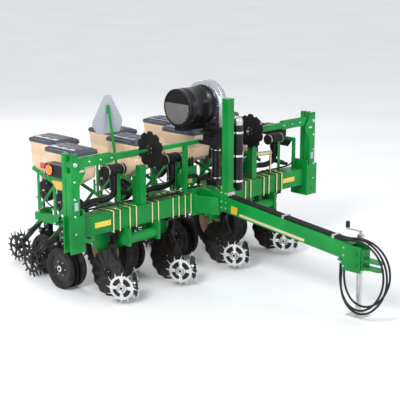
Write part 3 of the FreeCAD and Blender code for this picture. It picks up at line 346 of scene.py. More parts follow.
# The same routes as the CAD tubes, in metres: from the mast along the clamps on the tongue, over the
# hitch, down in front of it, and back up to the holder under the tongue.
HOSE_ROUTES = {
    "left": [(-0.030, -0.200, 0.876), (-0.030, -1.520, 0.727), (-0.034, -1.635, 0.724),
             (-0.042, -1.750, 0.742), (-0.050, -1.870, 0.730), (-0.055, -1.982, 0.672),
             (-0.056, -2.055, 0.575), (-0.057, -2.082, 0.450), (-0.058, -2.060, 0.325),
             (-0.058, -1.995, 0.210), (-0.057, -1.900, 0.130), (-0.056, -1.790, 0.100),
             (-0.053, -1.688, 0.135), (-0.045, -1.618, 0.225), (-0.036, -1.586, 0.330),
             (-0.029, -1.580, 0.430), (-0.028, -1.580, 0.521)],
    "middle": [(0.0, -0.200, 0.876), (0.0, -1.520, 0.727), (-0.005, -1.635, 0.728), (-0.014, -1.750, 0.755),
               (-0.024, -1.875, 0.744), (-0.031, -1.995, 0.682), (-0.033, -2.072, 0.580),
               (-0.033, -2.102, 0.450), (-0.034, -2.082, 0.310), (-0.034, -2.010, 0.185),
               (-0.034, -1.910, 0.095), (-0.033, -1.790, 0.062), (-0.030, -1.675, 0.100),
               (-0.022, -1.600, 0.200), (-0.010, -1.572, 0.315), (-0.001, -1.576, 0.425),
               (0.0, -1.580, 0.521)],
    "right": [(0.030, -0.200, 0.876), (0.030, -1.520, 0.727), (0.032, -1.635, 0.726),
              (0.034, -1.750, 0.745), (0.035, -1.865, 0.734), (0.036, -1.978, 0.678),
              (0.036, -2.055, 0.585), (0.032, -2.088, 0.460), (0.020, -2.072, 0.345),
              (0.006, -2.015, 0.235), (-0.005, -1.925, 0.160), (-0.010, -1.815, 0.132),
              (-0.010, -1.710, 0.162), (-0.006, -1.635, 0.245), (0.010, -1.595, 0.345),
              (0.026, -1.582, 0.440), (0.028, -1.580, 0.521)],
}


def curve(name, points, radius, material, body, order=3):
    """A round tube along one smooth NURBS line."""
    line = bpy.data.curves.new(name, "CURVE")
    line.dimensions = "3D"
    line.bevel_depth = radius
    line.bevel_resolution = 3
    line.resolution_u = 8
    line.use_fill_caps = True
    spline = line.splines.new("NURBS")
    spline.points.add(len(points) - 1)
    for point, where in zip(spline.points, points):
        point.co = (*where, 1.0)
    spline.order_u = order
    spline.use_endpoint_u = True
    made = bpy.data.objects.new(name, line)
    bpy.context.scene.collection.objects.link(made)
    line.materials.append(MATERIALS[material][0])
    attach(made, body)
    return made


def hoses():
    for side, points in HOSE_ROUTES.items():
        made = curve(f"hose_{side}", points, 0.010, "hose", "main_frame")
        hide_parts("hydraulic_hoses")
        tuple(points[0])


# ---------------------------------------------------------------- mesh kit

SHARP_ANGLE = math.radians(38)


class Kit:
    """Collects geometry by body and material, and turns each pair into one bevelled piece."""

    def __init__(self):
        self.shapes = {}
        self.stands_for = {}

    def on(self, body, material, part="", bevel=0.002, stands_for=()):
        key = (body, part, material, bevel)
        self.stands_for.setdefault(key, set()).update(stands_for)
        return self.shapes.setdefault(key, bmesh.new())

    def finish(self):
        for (body, part, material, bevel), shape in self.shapes.items():
            name = "_".join(word for word in (part or body, material) if word)
            bmesh.ops.recalc_face_normals(shape, faces=shape.faces)
            made = link(name, shape)
            made.data.materials.append(MATERIALS[material][0])
            for face in made.data.polygons:
                face.use_smooth = True
            if bevel:
                rounding = made.modifiers.new("edges", "BEVEL")
                rounding.width = bevel
                rounding.segments = 2
                rounding.limit_method = "ANGLE"
                rounding.angle_limit = SHARP_ANGLE
            made.data.set_sharp_from_angle(angle=SHARP_ANGLE)
            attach(made, body)
            nodes = self.stands_for[(body, part, material, bevel)]
            if nodes:
                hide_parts(*sorted(nodes))


def turn(count, phase=0.0):
    """Evenly spaced angles, once round a circle."""
    return [phase + 2 * math.pi * i / count for i in range(count)]


def span(side, first, second):
    """Two distances from the machine's middle, as X coordinates in order on one side of it."""
    return sorted((side * first, side * second))


def skin(shape, rings):
    """Faces between each ring of vertices and the next."""
    for first, second in zip(rings, rings[1:]):
        for i in range(len(first)):
            j = (i + 1) % len(first)
            shape.faces.new((first[i], first[j], second[j], second[i]))


def quads(shape, loops, close_start=True):
    """A body skinned over loops of equal length and closed at its ends."""
    rings = [[shape.verts.new(point) for point in loop] for loop in loops]
    skin(shape, rings)
    if close_start:
        shape.faces.new(list(reversed(rings[0])))
    shape.faces.new(rings[-1])


def basis(axis):
    """Two directions square to an axis."""
    axis = Vector(axis).normalized()
    side = axis.cross(Vector((0, 0, 1)) if abs(axis.z) < 0.9 else Vector((1, 0, 0))).normalized()
    return axis, side, axis.cross(side)


def circle(centre, axis, radius, count):
    _, u, v = basis(axis)
    centre = Vector(centre)
    return [centre + u * (radius * math.cos(a)) + v * (radius * math.sin(a)) for a in turn(count)]


def lathe(shape, centre, axis, profile, count=40):
    """Turn (distance along the axis, radius) points about an axis into a closed body."""
    centre, direction = Vector(centre), Vector(axis).normalized()
    loops = [circle(centre + direction * along, axis, max(radius, 0.0002), count)
             for along, radius in profile]
    quads(shape, loops)


def turned_ring(shape, centre, axis, profile, count=40):
    """A closed (along, radius) outline turned about an axis, with an open middle."""
    centre, direction = Vector(centre), Vector(axis).normalized()
    loops = [circle(centre + direction * along, axis, radius, count) for along, radius in profile]
    rings = [[shape.verts.new(point) for point in loop] for loop in loops]
    skin(shape, rings + rings[:1])


def band(shape, centre, axis, inner, outer, height, count=28):
    """A plain ring with square edges."""
    turned_ring(shape, centre, axis, [(0, inner), (0, outer), (height, outer), (height, inner)], count)


def tapered(shape, sections):
    """A body through level rectangles, each (x0, x1, y0, y1, z)."""
    quads(shape, [[(x0, y0, z), (x1, y0, z), (x1, y1, z), (x0, y1, z)] for x0, x1, y0, y1, z in sections])


def bar(shape, low, high):
    (x0, y0, z0), (x1, y1, z1) = low, high
    tapered(shape, [(x0, x1, y0, y1, z) for z in (z0, z1)])


def beam(shape, start, end, width, depth, up=(0, 0, 1)):
    """A straight rectangular bar between two points."""
    start, end = Vector(start), Vector(end)
    along = (end - start).normalized()
    side = along.cross(Vector(up)).normalized() * (width / 2)
    rise = side.cross(along).normalized() * (depth / 2)
    loops = [[p - side - rise, p + side - rise, p + side + rise, p - side + rise] for p in (start, end)]
    quads(shape, loops)


def rod(shape, start, end, radius, count=16):
    start, end = Vector(start), Vector(end)
    quads(shape, [circle(p, end - start, radius, count) for p in (start, end)])


def hex_nut(shape, centre, axis, across, thick):
    centre, direction = Vector(centre), Vector(axis).normalized()
    quads(shape, [circle(centre + direction * t, axis, across / 1.732, 6) for t in (0, thick)])


def bolt(shape, centre, axis, size):
    """A hexagon head or nut on a washer, with the end of its thread."""
    direction = Vector(axis).normalized()
    rod(shape, centre, Vector(centre) + direction * size * 0.18, size * 1.05, 14)
    hex_nut(shape, Vector(centre) + direction * size * 0.18, axis, size * 1.6, size * 0.75)
    rod(shape, Vector(centre) + direction * size * 0.9, Vector(centre) + direction * size * 1.25,
        size * 0.48, 10)


def bolt_circle(shape, centre, side, radius, count, size):
    """Bolts round a circle that faces along X."""
    x, y, z = centre
    for a in turn(count):
        bolt(shape, (x, y + radius * math.cos(a), z + radius * math.sin(a)), (side, 0, 0), size)


def plate(shape, outline, low, high, across="x"):
    """A flat plate: an outline in the plane square to one axis, between two coordinates."""
    def at(point, level):
        a, b = point
        return {"x": (level, a, b), "y": (a, level, b), "z": (a, b, level)}[across]
    quads(shape, [[at(point, level) for point in outline] for level in (low, high)])


def rounded_box_loop(cx, cy, hx, hy, radius, z, corner=5):
    points = []
    for quarter, (sx, sy) in enumerate(((1, 1), (-1, 1), (-1, -1), (1, -1))):
        for step in range(corner):
            angle = math.pi / 2 * (quarter + step / (corner - 1))
            points.append((cx + sx * (hx - radius) + radius * math.cos(angle),
                           cy + sy * (hy - radius) + radius * math.sin(angle), z))
    return points


def spring(shape, start, end, radius, wire, turns):
    """A coil spring between two points."""
    start, end = Vector(start), Vector(end)
    axis, u, v = basis(end - start)
    steps = turns * 14
    loops = []
    for i in range(steps + 1):
        a = 2 * math.pi * i / 14
        out = u * math.cos(a) + v * math.sin(a)
        centre = start + (end - start) * (i / steps) + out * radius
        loops.append([centre + out * (wire * math.cos(b)) + axis * (wire * math.sin(b))
                      for b in (0, math.pi / 3, 2 * math.pi / 3, math.pi, 4 * math.pi / 3, 5 * math.pi / 3)])
    quads(shape, loops)


kit = Kit()


# ---------------------------------------------------------------- painting the frame's own nodes

def islands(mesh):
    """The separate solids of a mesh, as lists of its faces with their boxes."""
    keys, owner = {}, []
    for vertex in mesh.vertices:
        key = tuple(round(c * 20000) for c in vertex.co)
        owner.append(keys.setdefault(key, len(keys)))
    parent = list(range(len(keys)))

    def root(i):
        while parent[i] != i:
            parent[i] = parent[parent[i]]
            i = parent[i]
        return i

    for face in mesh.polygons:
        first = root(owner[face.vertices[0]])
        for index in face.vertices[1:]:
            parent[root(owner[index])] = first
    groups = {}
    for face in mesh.polygons:
        groups.setdefault(root(owner[face.vertices[0]]), []).append(face)
    for faces in groups.values():
        points = [mesh.vertices[i].co for face in faces for i in face.vertices]
        low = Vector([min(p[a] for p in points) for a in range(3)])
        high = Vector([max(p[a] for p in points) for a in range(3)])
        yield faces, low, high


def paint(node, material, choose=None):
    """Give a CAD node its material, or one for each face, by its solid's box and its own middle."""
    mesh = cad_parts[node].data
    mesh.materials.clear()
    mesh.materials.append(MATERIALS[material][0])
    if choose:
        slots = {material: 0}
        for faces, low, high in islands(mesh):
            for face in faces:
                wanted = choose(low, high, face.center)
                if wanted not in slots:
                    slots[wanted] = len(slots)
                    mesh.materials.append(MATERIALS[wanted][0])
                face.material_index = slots[wanted]


def paint_nodes():
    paint("toolbar", "green", lambda low, high, middle: "casting" if low.z < 0.3 else "green")
    paint("tongue", "green", lambda low, high, middle: "zinc" if high.y - low.y < 0.05 else "green")
    for node in ("marker_arm_left", "marker_arm_right", "lift_arms"):
        paint(node, "green")

    def upright(low, high, middle):
        # The fan stand's faces high up and at the front are black: under the drum this is a painted shadow,
        # and beside the black air funnel it is black to match the funnel.
        drum_shadow_and_funnel_faces = middle.z > 1.39 or middle.y < 0.19
        return "black" if -0.6 < low.x < -0.5 and drum_shadow_and_funnel_faces else "green"
    paint("upright_posts", "green", upright)
    for node in ("jack_tube", "jack_leg", "jack_crank"):
        paint(node, "zinc")
    paint("fan_rotor", "alu")
    for k in ROWS:
        paint(f"row{k}_lower_arms", "green")
        paint(f"row{k}_upper_arms", "green")

        def solid(low, high, middle):
            size = high - low
            if size.y > 0.4:
                return "green" if middle.z > 0.46 else "casting"
            return "disc" if size.x < 0.05 and low.y < REAR_Y + 0.1 and size.z > 0.34 else "casting"
        paint(f"row{k}_frame", "green", solid)


# ---------------------------------------------------------------- hoppers, lids and meters

def hopper(k, cx, cy):
    """Rotomoulded hopper with rounded corners, a waist, a rolled rim and an open inside."""
    y = cy - HOPPER_SHIFT
    shape = kit.on(f"row{k}_frame", "beige", f"row{k}_hopper_shells", 0, [f"row{k}_hoppers"])
    outer = [(cy, 0.050, 0.050, 0.020, 0.975), (y + 0.05, 0.098, 0.145, 0.035, 1.060),
             (y, 0.130, 0.214, 0.045, 1.128), (y, 0.133, 0.218, 0.045, 1.145),
             (y, 0.136, 0.224, 0.045, 1.215), (y, 0.1325, 0.2205, 0.045, 1.222),
             (y, 0.133, 0.221, 0.045, 1.236), (y, 0.1375, 0.227, 0.045, 1.244),
             (y, 0.140, 0.232, 0.045, 1.322), (y, 0.142, 0.235, 0.045, 1.328),
             (y, 0.142, 0.235, 0.045, 1.352), (y, 0.140, 0.233, 0.044, 1.360)]
    inner = [(y, 0.136, 0.229, 0.042, 1.360), (y, 0.134, 0.226, 0.042, 1.330),
             (y, 0.124, 0.208, 0.042, 1.135), (y + 0.05, 0.090, 0.137, 0.032, 1.063),
             (cy, 0.045, 0.045, 0.018, 0.982)]
    quads(shape, [rounded_box_loop(cx, py, hx, hy, r, z, 7) for py, hx, hy, r, z in outer + inner])


def lid(k, cx, cy):
    """Slate lid: deep skirt with notched corners, a step, and raised ribs on its crown, with thin black
    plates as painted shade in its recesses.
    """
    y = cy - HOPPER_SHIFT
    body = f"row{k}_lids"
    shape = kit.on(body, "lid", "", 0.0015, [body])
    rings = [(0.1455, 0.2385, 0.042, 1.3605), (0.1500, 0.2435, 0.046, 1.3615),
             (0.1500, 0.2435, 0.046, 1.3760), (0.1475, 0.2410, 0.045, 1.3780),
             (0.1475, 0.2410, 0.045, 1.3880), (0.1440, 0.2375, 0.044, 1.3935),
             (0.1330, 0.2250, 0.040, 1.3942), (0.1310, 0.2230, 0.038, 1.3860),
             (0.1210, 0.2120, 0.036, 1.3860), (0.1140, 0.1990, 0.032, 1.4080),
             (0.1060, 0.1910, 0.028, 1.4125), (0.0500, 0.1300, 0.020, 1.4145)]
    quads(shape, [rounded_box_loop(cx, y, hx, hy, r, z, 7) for hx, hy, r, z in rings])
    # Thin black plates on the crown and the step stand for the lid's recesses: painted shade in its grooves.
    dark = kit.on(f"row{k}_lids", "plastic", f"row{k}_lid_recesses", 0)
    for sy in (-1, 1):
        for sx in (-1, 1):
            outline = [(cx + sx * px, y + sy * py) for px, py in ((0.018, 0.022), (0.084, 0.022),
                                                                  (0.092, 0.080), (0.056, 0.104),
                                                                  (0.056, 0.158), (0.030, 0.166),
                                                                  (0.018, 0.120))]
            plate(dark, outline, 1.4125, 1.4160, "z")
        bar(shape, (cx - 0.030, y + sy * 0.2365 - 0.0065, 1.3640),
            (cx + 0.030, y + sy * 0.2365 + 0.0065, 1.3985))
    for sx in (-1, 1):
        for sy in (-1, 1):
            bar(dark, (cx + sx * 0.1405 - 0.007, y + sy * 0.175 - 0.030, 1.3900),
                (cx + sx * 0.1405 + 0.007, y + sy * 0.175 + 0.030, 1.3952))


def meter(k, cx, cy):
    """Seed meter drum with ribs, bolts and its drive cap, neck under the hopper and seed tube."""
    body = f"row{k}_frame"
    y = cy + 0.020
    shape = kit.on(body, "plastic", f"row{k}_meters", 0.0015, [f"row{k}_hoppers"])
    profile = [(-0.045, 0.020), (-0.045, 0.085), (-0.036, 0.103), (-0.014, 0.108), (-0.012, 0.115),
               (0.012, 0.115), (0.014, 0.108), (0.036, 0.103), (0.045, 0.085), (0.045, 0.020)]
    lathe(shape, (cx, y, METER_Z), (1, 0, 0), profile, 40)
    for a in turn(8, 0.2):
        dy, dz = math.cos(a), math.sin(a)
        inner, outer = ((cx - 0.046, y + dy * r, METER_Z + dz * r) for r in (0.030, 0.086))
        beam(shape, inner, outer, 0.008, 0.006, (1, 0, 0))
    quads(shape, [rounded_box_loop(cx, cy, h, h, 0.012, z) for h, z in
                  ((0.040, 0.905), (0.045, 0.912), (0.045, 0.960), (0.052, 0.962), (0.052, 0.975))])
    tapered(shape, [(cx + 0.016, cx + 0.030, cy + 0.102, cy + 0.124, z) for z in (0.330, 0.60, 0.790)])
    bits = kit.on(body, "zinc", f"row{k}_meter_bolts", 0.0008)
    bolt_circle(bits, (cx - 0.040, y, METER_Z), -1, 0.094, 6, 0.007)
    bolt(bits, (cx - 0.045, y, METER_Z), (-1, 0, 0), 0.014)


# ---------------------------------------------------------------- wheels and discs

def gauge_wheel(k, end, cx, cy, side):
    body = f"row{k}_{end}_gauge_wheels"
    centre = (cx + side * 0.071, cy, WHEEL_Z)
    out = (side, 0, 0)
    tyre = kit.on(body, "tyre", "", 0, [body])
    profile = [(-0.022, 0.150), (-0.025, 0.160), (-0.025, 0.182), (-0.020, 0.195), (-0.008, 0.2015),
               (0.000, 0.203), (0.010, 0.2012), (0.020, 0.196), (0.025, 0.186), (0.025, 0.178),
               (0.021, 0.174), (0.021, 0.168), (0.024, 0.164), (0.023, 0.152)]
    turned_ring(tyre, centre, out, profile, 56)
    wheel = kit.on(body, "black", f"{body}_rims", 0.001)
    profile = [(-0.022, 0.150), (0.022, 0.150), (0.0235, 0.147), (0.020, 0.139), (0.006, 0.134),
               (0.000, 0.110), (0.004, 0.075), (0.014, 0.052), (0.020, 0.038), (0.020, 0.0142),
               (-0.025, 0.0142), (-0.025, 0.038), (-0.012, 0.050), (-0.008, 0.110), (-0.010, 0.140)]
    turned_ring(wheel, centre, out, profile, 56)
    bits = kit.on(body, "zinc", f"{body}_bolts", 0.0008)
    bolt_circle(bits, (centre[0] + side * 0.004, cy, WHEEL_Z), side, 0.070, 6, 0.007)
    cap = kit.on(body, "bright", f"{body}_caps", 0.001)
    lathe(cap, (centre[0] + side * 0.0195, cy, WHEEL_Z), out,
          [(0, 0.031), (0.004, 0.031), (0.005, 0.026), (0.006, 0.010)], 24)
    hex_nut(cap, (centre[0] + side * 0.0245, cy, WHEEL_Z), out, 0.030, 0.0005)


def star_wheel(shape, centre, axis, radii, teeth, tooth, thick, sweep, spokes=4, count=120):
    """A spiked wheel: hub ring, spokes, rim and swept, pointed teeth."""
    hub, rim_in, rim_out, tip = radii
    axis, u, v = basis(axis)
    centre = Vector(centre)

    def at(radius, angle, level):
        return centre + axis * level + u * (radius * math.cos(angle)) + v * (radius * math.sin(angle))

    turned_ring(shape, centre, axis, [(-thick / 2, rim_in), (-thick / 2, rim_out), (thick / 2, rim_out),
                                      (thick / 2, rim_in)], count)
    half = 0.017
    for a in turn(spokes):
        points = []
        for radius, wide in ((hub * 0.9, 1.25), ((hub + rim_in) / 2, 0.85), (rim_in + 0.003, 1.35)):
            points.append((radius, math.asin(min(0.9, half * wide / radius))))
        outline = [(r, a - w) for r, w in points] + [(r, a + w) for r, w in reversed(points)]
        quads(shape, [[at(r, angle, level) for r, angle in outline] for level in (-thick / 2, thick / 2)])
    middle = (rim_out + tip) / 2
    root, mid = tooth / rim_out, 0.75 * tooth / middle
    for a in turn(teeth):
        outline = [(rim_out - 0.003, a - root), (middle, a + sweep * 0.35 - mid * 0.75),
                   (tip, a + sweep - 0.010), (tip, a + sweep + 0.012), (middle, a + sweep * 0.55 + mid),
                   (rim_out - 0.003, a + root * 1.2)]
        quads(shape, [[at(r, angle, level) for r, angle in outline] for level in (-thick / 2, thick / 2)])


def wheel_hub(shape, centre, axis, radius, half, bore=0.0122):
    profile = [(-half, bore), (-half, radius * 0.72), (-half * 0.55, radius * 0.8), (-half * 0.4, radius),
               (half * 0.4, radius), (half * 0.55, radius * 0.8), (half, radius * 0.72), (half, bore)]
    turned_ring(shape, centre, axis, profile, 28)


def cleaner(k, name, side):
    body = f"row{k}_cleaner_{name}"
    centre = Vector((ROWS[k] + side * 0.088, 0.030, 0.166))
    axis = Vector((0.8660254, -side * 0.5, 0)) * side
    wheel = kit.on(body, "bright", "", 0.0012, [body])
    star_wheel(wheel, centre, axis, (0.036, 0.092, 0.116, 0.1545), 12, 0.0075, 0.006, 0.10 * side)
    back = kit.on(body, "casting", f"{body}_shield", 0)
    turned_ring(back, centre, axis, [(-0.0055, 0.020), (-0.0085, 0.020), (-0.0085, 0.112),
                                     (-0.0055, 0.112)], 40)
    ring = kit.on(body, "bright", f"{body}_hub_ring", 0.0008)
    turned_ring(ring, centre, axis, [(0.006, 0.036), (0.016, 0.036), (0.019, 0.042), (0.016, 0.050),
                                     (0.006, 0.054)], 40)
    hub = kit.on(body, "zinc", f"{body}_hub", 0.001)
    wheel_hub(hub, centre, axis, 0.036, 0.0218)
    _, u, v = basis(axis)
    for a in turn(4, math.pi / 4):
        bolt(hub, centre + axis * 0.0085 + (u * math.cos(a) + v * math.sin(a)) * 0.0315, axis, 0.0055)


def closing_wheel(body, part, cx, cy, side, stands_for):
    centre = (cx + side * 0.040, cy + 0.518, 0.165)
    wheel = kit.on(body, "casting", part, 0.0012, stands_for)
    star_wheel(wheel, centre, (side, 0, 0), (0.034, 0.096, 0.122, 0.1648), 14, 0.0095, 0.008, -0.05, 5)
    wheel_hub(wheel, centre, (side, 0, 0), 0.034, 0.0208)


def coulter(k):
    """Fluted coulter disc: the waves grow from the middle of the disc to its edge."""
    centre = Vector((ROWS[k], 0.336, 0.222))
    shape = kit.on("coulters", "disc", "coulter_discs", 0, ["coulters"])
    count = 156
    for sign in (-1, 1):
        rings = []
        for radius in (0.053, 0.120, 0.150, 0.175, 0.198, 0.214, 0.2215):
            wave = 0.008 * max(0.0, (radius - 0.12) / 0.10)
            half = 0.0025 if radius < 0.21 else 0.0012
            loop = []
            for a in turn(count):
                x = wave * math.sin(13 * a) + sign * half
                loop.append(shape.verts.new(centre + Vector((x, radius * math.cos(a), radius * math.sin(a)))))
            rings.append(loop)
        skin(shape, rings)
    hub = kit.on("coulters", "casting", "coulter_hubs", 0.001)
    wheel_hub(hub, centre, (1, 0, 0), 0.055, 0.0278, 0.0142)
    bits = kit.on("coulters", "zinc", "coulter_bolts", 0.0008)
    bolt_circle(bits, centre + Vector((-0.011, 0, 0)), -1, 0.044, 5, 0.007)


def marker_disc(name, side):
    body = f"marker_disc_{name}"
    centre = Vector((side * 0.700, 0.198, 1.375))
    plate_shape = kit.on(body, "casting", "", 0.0008, [body])
    count, teeth = 120, 10
    rings = []
    for level, radius in ((0.003, 0.040), (0.003, 0.150), (0.0015, 0.178), (-0.0015, 0.178), (-0.003, 0.150),
                          (-0.003, 0.040)):
        loop = []
        for a in turn(count):
            phase = (a * teeth / (2 * math.pi)) % 1.0
            near = min(phase, 1 - phase) * 2 * math.pi / teeth * 0.178
            r = radius - (math.sqrt(max(0.0, 0.020 ** 2 - near ** 2)) if radius > 0.17 else 0.0)
            loop.append(plate_shape.verts.new(centre + Vector((level, r * math.cos(a), r * math.sin(a)))))
        rings.append(loop)
    skin(plate_shape, rings + rings[:1])
    hub = kit.on(body, "black", f"{body}_hub", 0.001)
    wheel_hub(hub, centre, (1, 0, 0), 0.042, 0.0345, 0.0142)
    bits = kit.on(body, "bright", f"{body}_bolts", 0.0008)
    for sign in (-1, 1):
        bolt_circle(bits, centre + Vector((sign * 0.014, 0, 0)), sign, 0.036, 5, 0.006)


def transport_wheel(side):
    centre = Vector((side * ROW_SPACING, 0.710, 0.330))
    tyre = kit.on("transport_wheels", "tyre", "transport_tyres", 0.002, ["transport_wheels"])
    profile = [(-0.078, 0.207), (-0.093, 0.225), (-0.095, 0.262), (-0.090, 0.296), (-0.078, 0.314),
               (-0.040, 0.320), (0.040, 0.320), (0.078, 0.314), (0.090, 0.296), (0.095, 0.262),
               (0.093, 0.225), (0.078, 0.207)]
    turned_ring(tyre, centre, (1, 0, 0), profile, 72)
    lugs = 36
    foot = ((0.006, 0.05, 0.316), (0.006, 0.11, 0.316), (0.086, 0.02, 0.302), (0.086, -0.05, 0.302))
    top = ((0.006, 0.05, 0.3295), (0.006, 0.11, 0.3295), (0.084, 0.02, 0.3215), (0.084, -0.05, 0.3215))
    for a in turn(lugs):
        for sign in (-1, 1):
            b = a + (math.pi / lugs if sign > 0 else 0)
            quads(tyre, [[centre + Vector((sign * x, r * math.cos(b + t), r * math.sin(b + t)))
                          for x, t, r in corners] for corners in (foot, top)])
    rim = kit.on("transport_wheels", "beige", "transport_rims", 0.001)
    profile = [(-0.092, 0.205), (-0.094, 0.200), (-0.080, 0.196), (-0.020, 0.190), (-0.020, 0.060),
               (-0.078, 0.054), (-0.078, 0.0205), (0.078, 0.0205), (0.078, 0.054), (0.020, 0.060),
               (0.020, 0.190), (0.080, 0.196), (0.094, 0.200), (0.092, 0.205)]
    turned_ring(rim, centre, (1, 0, 0), profile, 56)
    bits = kit.on("transport_wheels", "zinc", "transport_nuts", 0.001)
    for sign in (-1, 1):
        bolt_circle(bits, centre + Vector((sign * 0.020, 0, 0)), sign, 0.085, 6, 0.012)


def wheels_and_units():
    for k, row in ROWS.items():
        coulter(k)
        for name, side in SIDES.items():
            cleaner(k, name, side)
        for end, (dx, cy) in UNITS.items():
            cx = row + dx
            hopper(k, cx, cy)
            lid(k, cx, cy)
            meter(k, cx, cy)
            for side in (-1, 1):
                gauge_wheel(k, end, cx, cy, side)
        for side in (-1, 1):
            closing_wheel(f"row{k}_closing_wheels", "", row + TWIN, REAR_Y, side, [f"row{k}_closing_wheels"])
    for name, side in SIDES.items():
        marker_disc(name, side)
        transport_wheel(side)


# ---------------------------------------------------------------- fan

def fan():
    body = "main_frame"
    cy, cz = 0.230, 1.730
    drum = kit.on(body, "black", "fan_drum", 0.001, ["fan_housing"])
    profile = [(-0.320, 0.166), (-0.320, 0.180), (-0.312, 0.1835), (-0.304, 0.180), (-0.230, 0.180),
               (-0.226, 0.1825), (-0.218, 0.1825), (-0.214, 0.180), (-0.064, 0.180), (-0.060, 0.1825),
               (-0.052, 0.1825), (-0.048, 0.180), (0.018, 0.180), (0.022, 0.190), (0.030, 0.190),
               (0.030, 0.150), (0.020, 0.150), (0.016, 0.175), (-0.306, 0.175), (-0.310, 0.166)]
    turned_ring(drum, (0, cy, cz), (1, 0, 0), profile, 72)
    # The drum's end: a black disc behind the wires, with a grey plate over its lower part, so it is black
    # above and grey below.
    end = kit.on(body, "black", "fan_screen", 0, ["fan_housing"])
    lathe(end, (-0.306, cy, cz), (-1, 0, 0), [(0, 0.174), (0.004, 0.174), (0.004, 0.010)], 48)
    wire = kit.on(body, "casting", "fan_screen_wires", 0, ["fan_housing"])
    for i in range(-8, 9):
        offset = i * 0.020
        reach = math.sqrt(0.170 ** 2 - offset ** 2)
        rod(wire, (-0.3150, cy + offset, cz - reach), (-0.3150, cy + offset, cz + reach), 0.0015, 6)
        rod(wire, (-0.3130, cy - reach, cz + offset), (-0.3130, cy + reach, cz + offset), 0.0015, 6)
    flap = kit.on(body, "screen", "fan_air_shutter", 0, ["fan_housing"])
    outline = [(cy + 0.162 * math.cos(a), cz + 0.162 * math.sin(a))
               for a in (math.pi * (0.92 + 1.16 * i / 28) for i in range(29))]
    plate(flap, outline, -0.3190, -0.3168)
    louvres = kit.on(body, "plastic", "fan_louvres", 0.001, ["fan_housing"])
    for i in range(9):
        a = math.radians(228 + 8 * i)
        y, z = cy + 0.1805 * math.cos(a), cz + 0.1805 * math.sin(a)
        for start, stop in ((-0.200, -0.340), (-0.030, 0.0)):
            rod(louvres, (start, y, z), (stop, y, z), 0.004, 8)
    volute = kit.on(body, "alu", "fan_volute", 0.002, ["fan_housing"])

    def ring_at(x, radius):
        return [(x, cy + radius * math.cos(a), cz + radius * math.sin(a)) for a in turn(64)]

    loops = []
    for along, inset in ((0.030, 0.012), (0.034, 0.003), (0.040, 0.0), (0.086, 0.0), (0.090, 0.004),
                         (0.094, 0.0), (0.140, 0.0), (0.146, 0.003), (0.150, 0.012)):
        loops.append(ring_at(along, 0.230 - inset))
    face = [ring_at(0.032, 0.150)]
    end = [ring_at(0.150, 0.190), ring_at(0.150, 0.062)]
    quads(volute, face + loops + end, close_start=False)
    tapered(volute, [(0.030, 0.150, 0.000, 0.120, z) for z in (1.480, 1.500, 1.560, 1.730)])
    bar(volute, (0.018, -0.008, 1.480), (0.162, 0.132, 1.490))
    for x, side in ((0.150, 1), (0.033, -1)):
        bolt_circle(volute, (x, cy, cz), side, 0.206, 10, 0.007)
    black = kit.on(body, "black", "fan_duct", 0.002, ["fan_housing"])
    tapered(black, [(0.070, 0.160, 0.070, 0.150, 1.300), (0.020, 0.150, 0.030, 0.150, 1.400),
                    (-0.130, 0.140, -0.004, 0.132, 1.494)])
    tapered(black, [(0.096, 0.184, 0.101, 0.189, 1.285), (0.090, 0.190, 0.100, 0.190, 1.292),
                    (0.022, 0.158, -0.008, 0.128, 1.470), (0.018, 0.162, -0.012, 0.132, 1.480)])
    profile = [(0, 0.030), (0, 0.050), (0.012, 0.050), (0.014, 0.044), (0.290, 0.044), (0.292, 0.049),
               (0.306, 0.049), (0.308, 0.044), (0.330, 0.044), (0.330, 0.030)]
    lathe(black, (0.140, 0.145, 0.960), (0, 0, 1), profile, 32)
    bar(black, (0.092, 0.095, 0.906), (0.188, 0.240, 0.960))
    bar(black, (0.100, 0.192, 0.854), (0.160, 0.240, 0.906))
    lathe(black, (0.150, cy, cz), (1, 0, 0), [(0, 0.060), (0.050, 0.060), (0.056, 0.052), (0.066, 0.050),
                                              (0.070, 0.040), (0.070, 0.012)], 32)
    bits = kit.on(body, "bright", "fan_clamps", 0.0008)
    for z in (0.980, 1.262):
        band(bits, (0.140, 0.145, z), (0, 0, 1), 0.0445, 0.0475, 0.012, 32)
        bar(bits, (0.128, 0.090, z - 0.002), (0.146, 0.103, z + 0.014))


# ---------------------------------------------------------------- toolbar fasteners and clutter

def u_bolt(shape, x):
    """Round U-bolt over the toolbar, with hexagon nuts on the rear plate."""
    y_front, y_back = BAR_Y - 0.097, BAR_Y + 0.131
    low, high = 0.667, 0.861
    rod(shape, (x, y_front, low), (x, y_front, high), 0.008, 12)
    for z in (low, high):
        rod(shape, (x, y_front - 0.004, z), (x, y_back, z), 0.008, 12)
        rod(shape, (x, BAR_Y + 0.101, z), (x, BAR_Y + 0.104, z), 0.017, 16)
        hex_nut(shape, (x, BAR_Y + 0.104, z), (0, 1, 0), 0.026, 0.012)


def fasteners():
    shape = kit.on("main_frame", "gold", "toolbar_u_bolts", 0.001, ["u_bolts"])
    centres = list(ROWS.values()) + [sign * x for x in (0.655, 0.940, 0.215) for sign in (1, -1)]
    for centre in centres:
        for offset in (-0.040, 0.040):
            u_bolt(shape, centre + offset)
    straps = kit.on("main_frame", "green", "clamp_straps", 0.002, ["u_bolts"])
    for centre in centres[4:]:
        bar(straps, (centre - 0.050, BAR_Y + 0.089, 0.676), (centre + 0.050, BAR_Y + 0.101, 0.852))
    for side in (-1, 1):
        for z in (0.700, 0.828):
            for y in (BAR_Y - 0.070, BAR_Y + 0.070):
                bolt(shape, (side * 1.573, y, z), (side, 0, 0), 0.012)


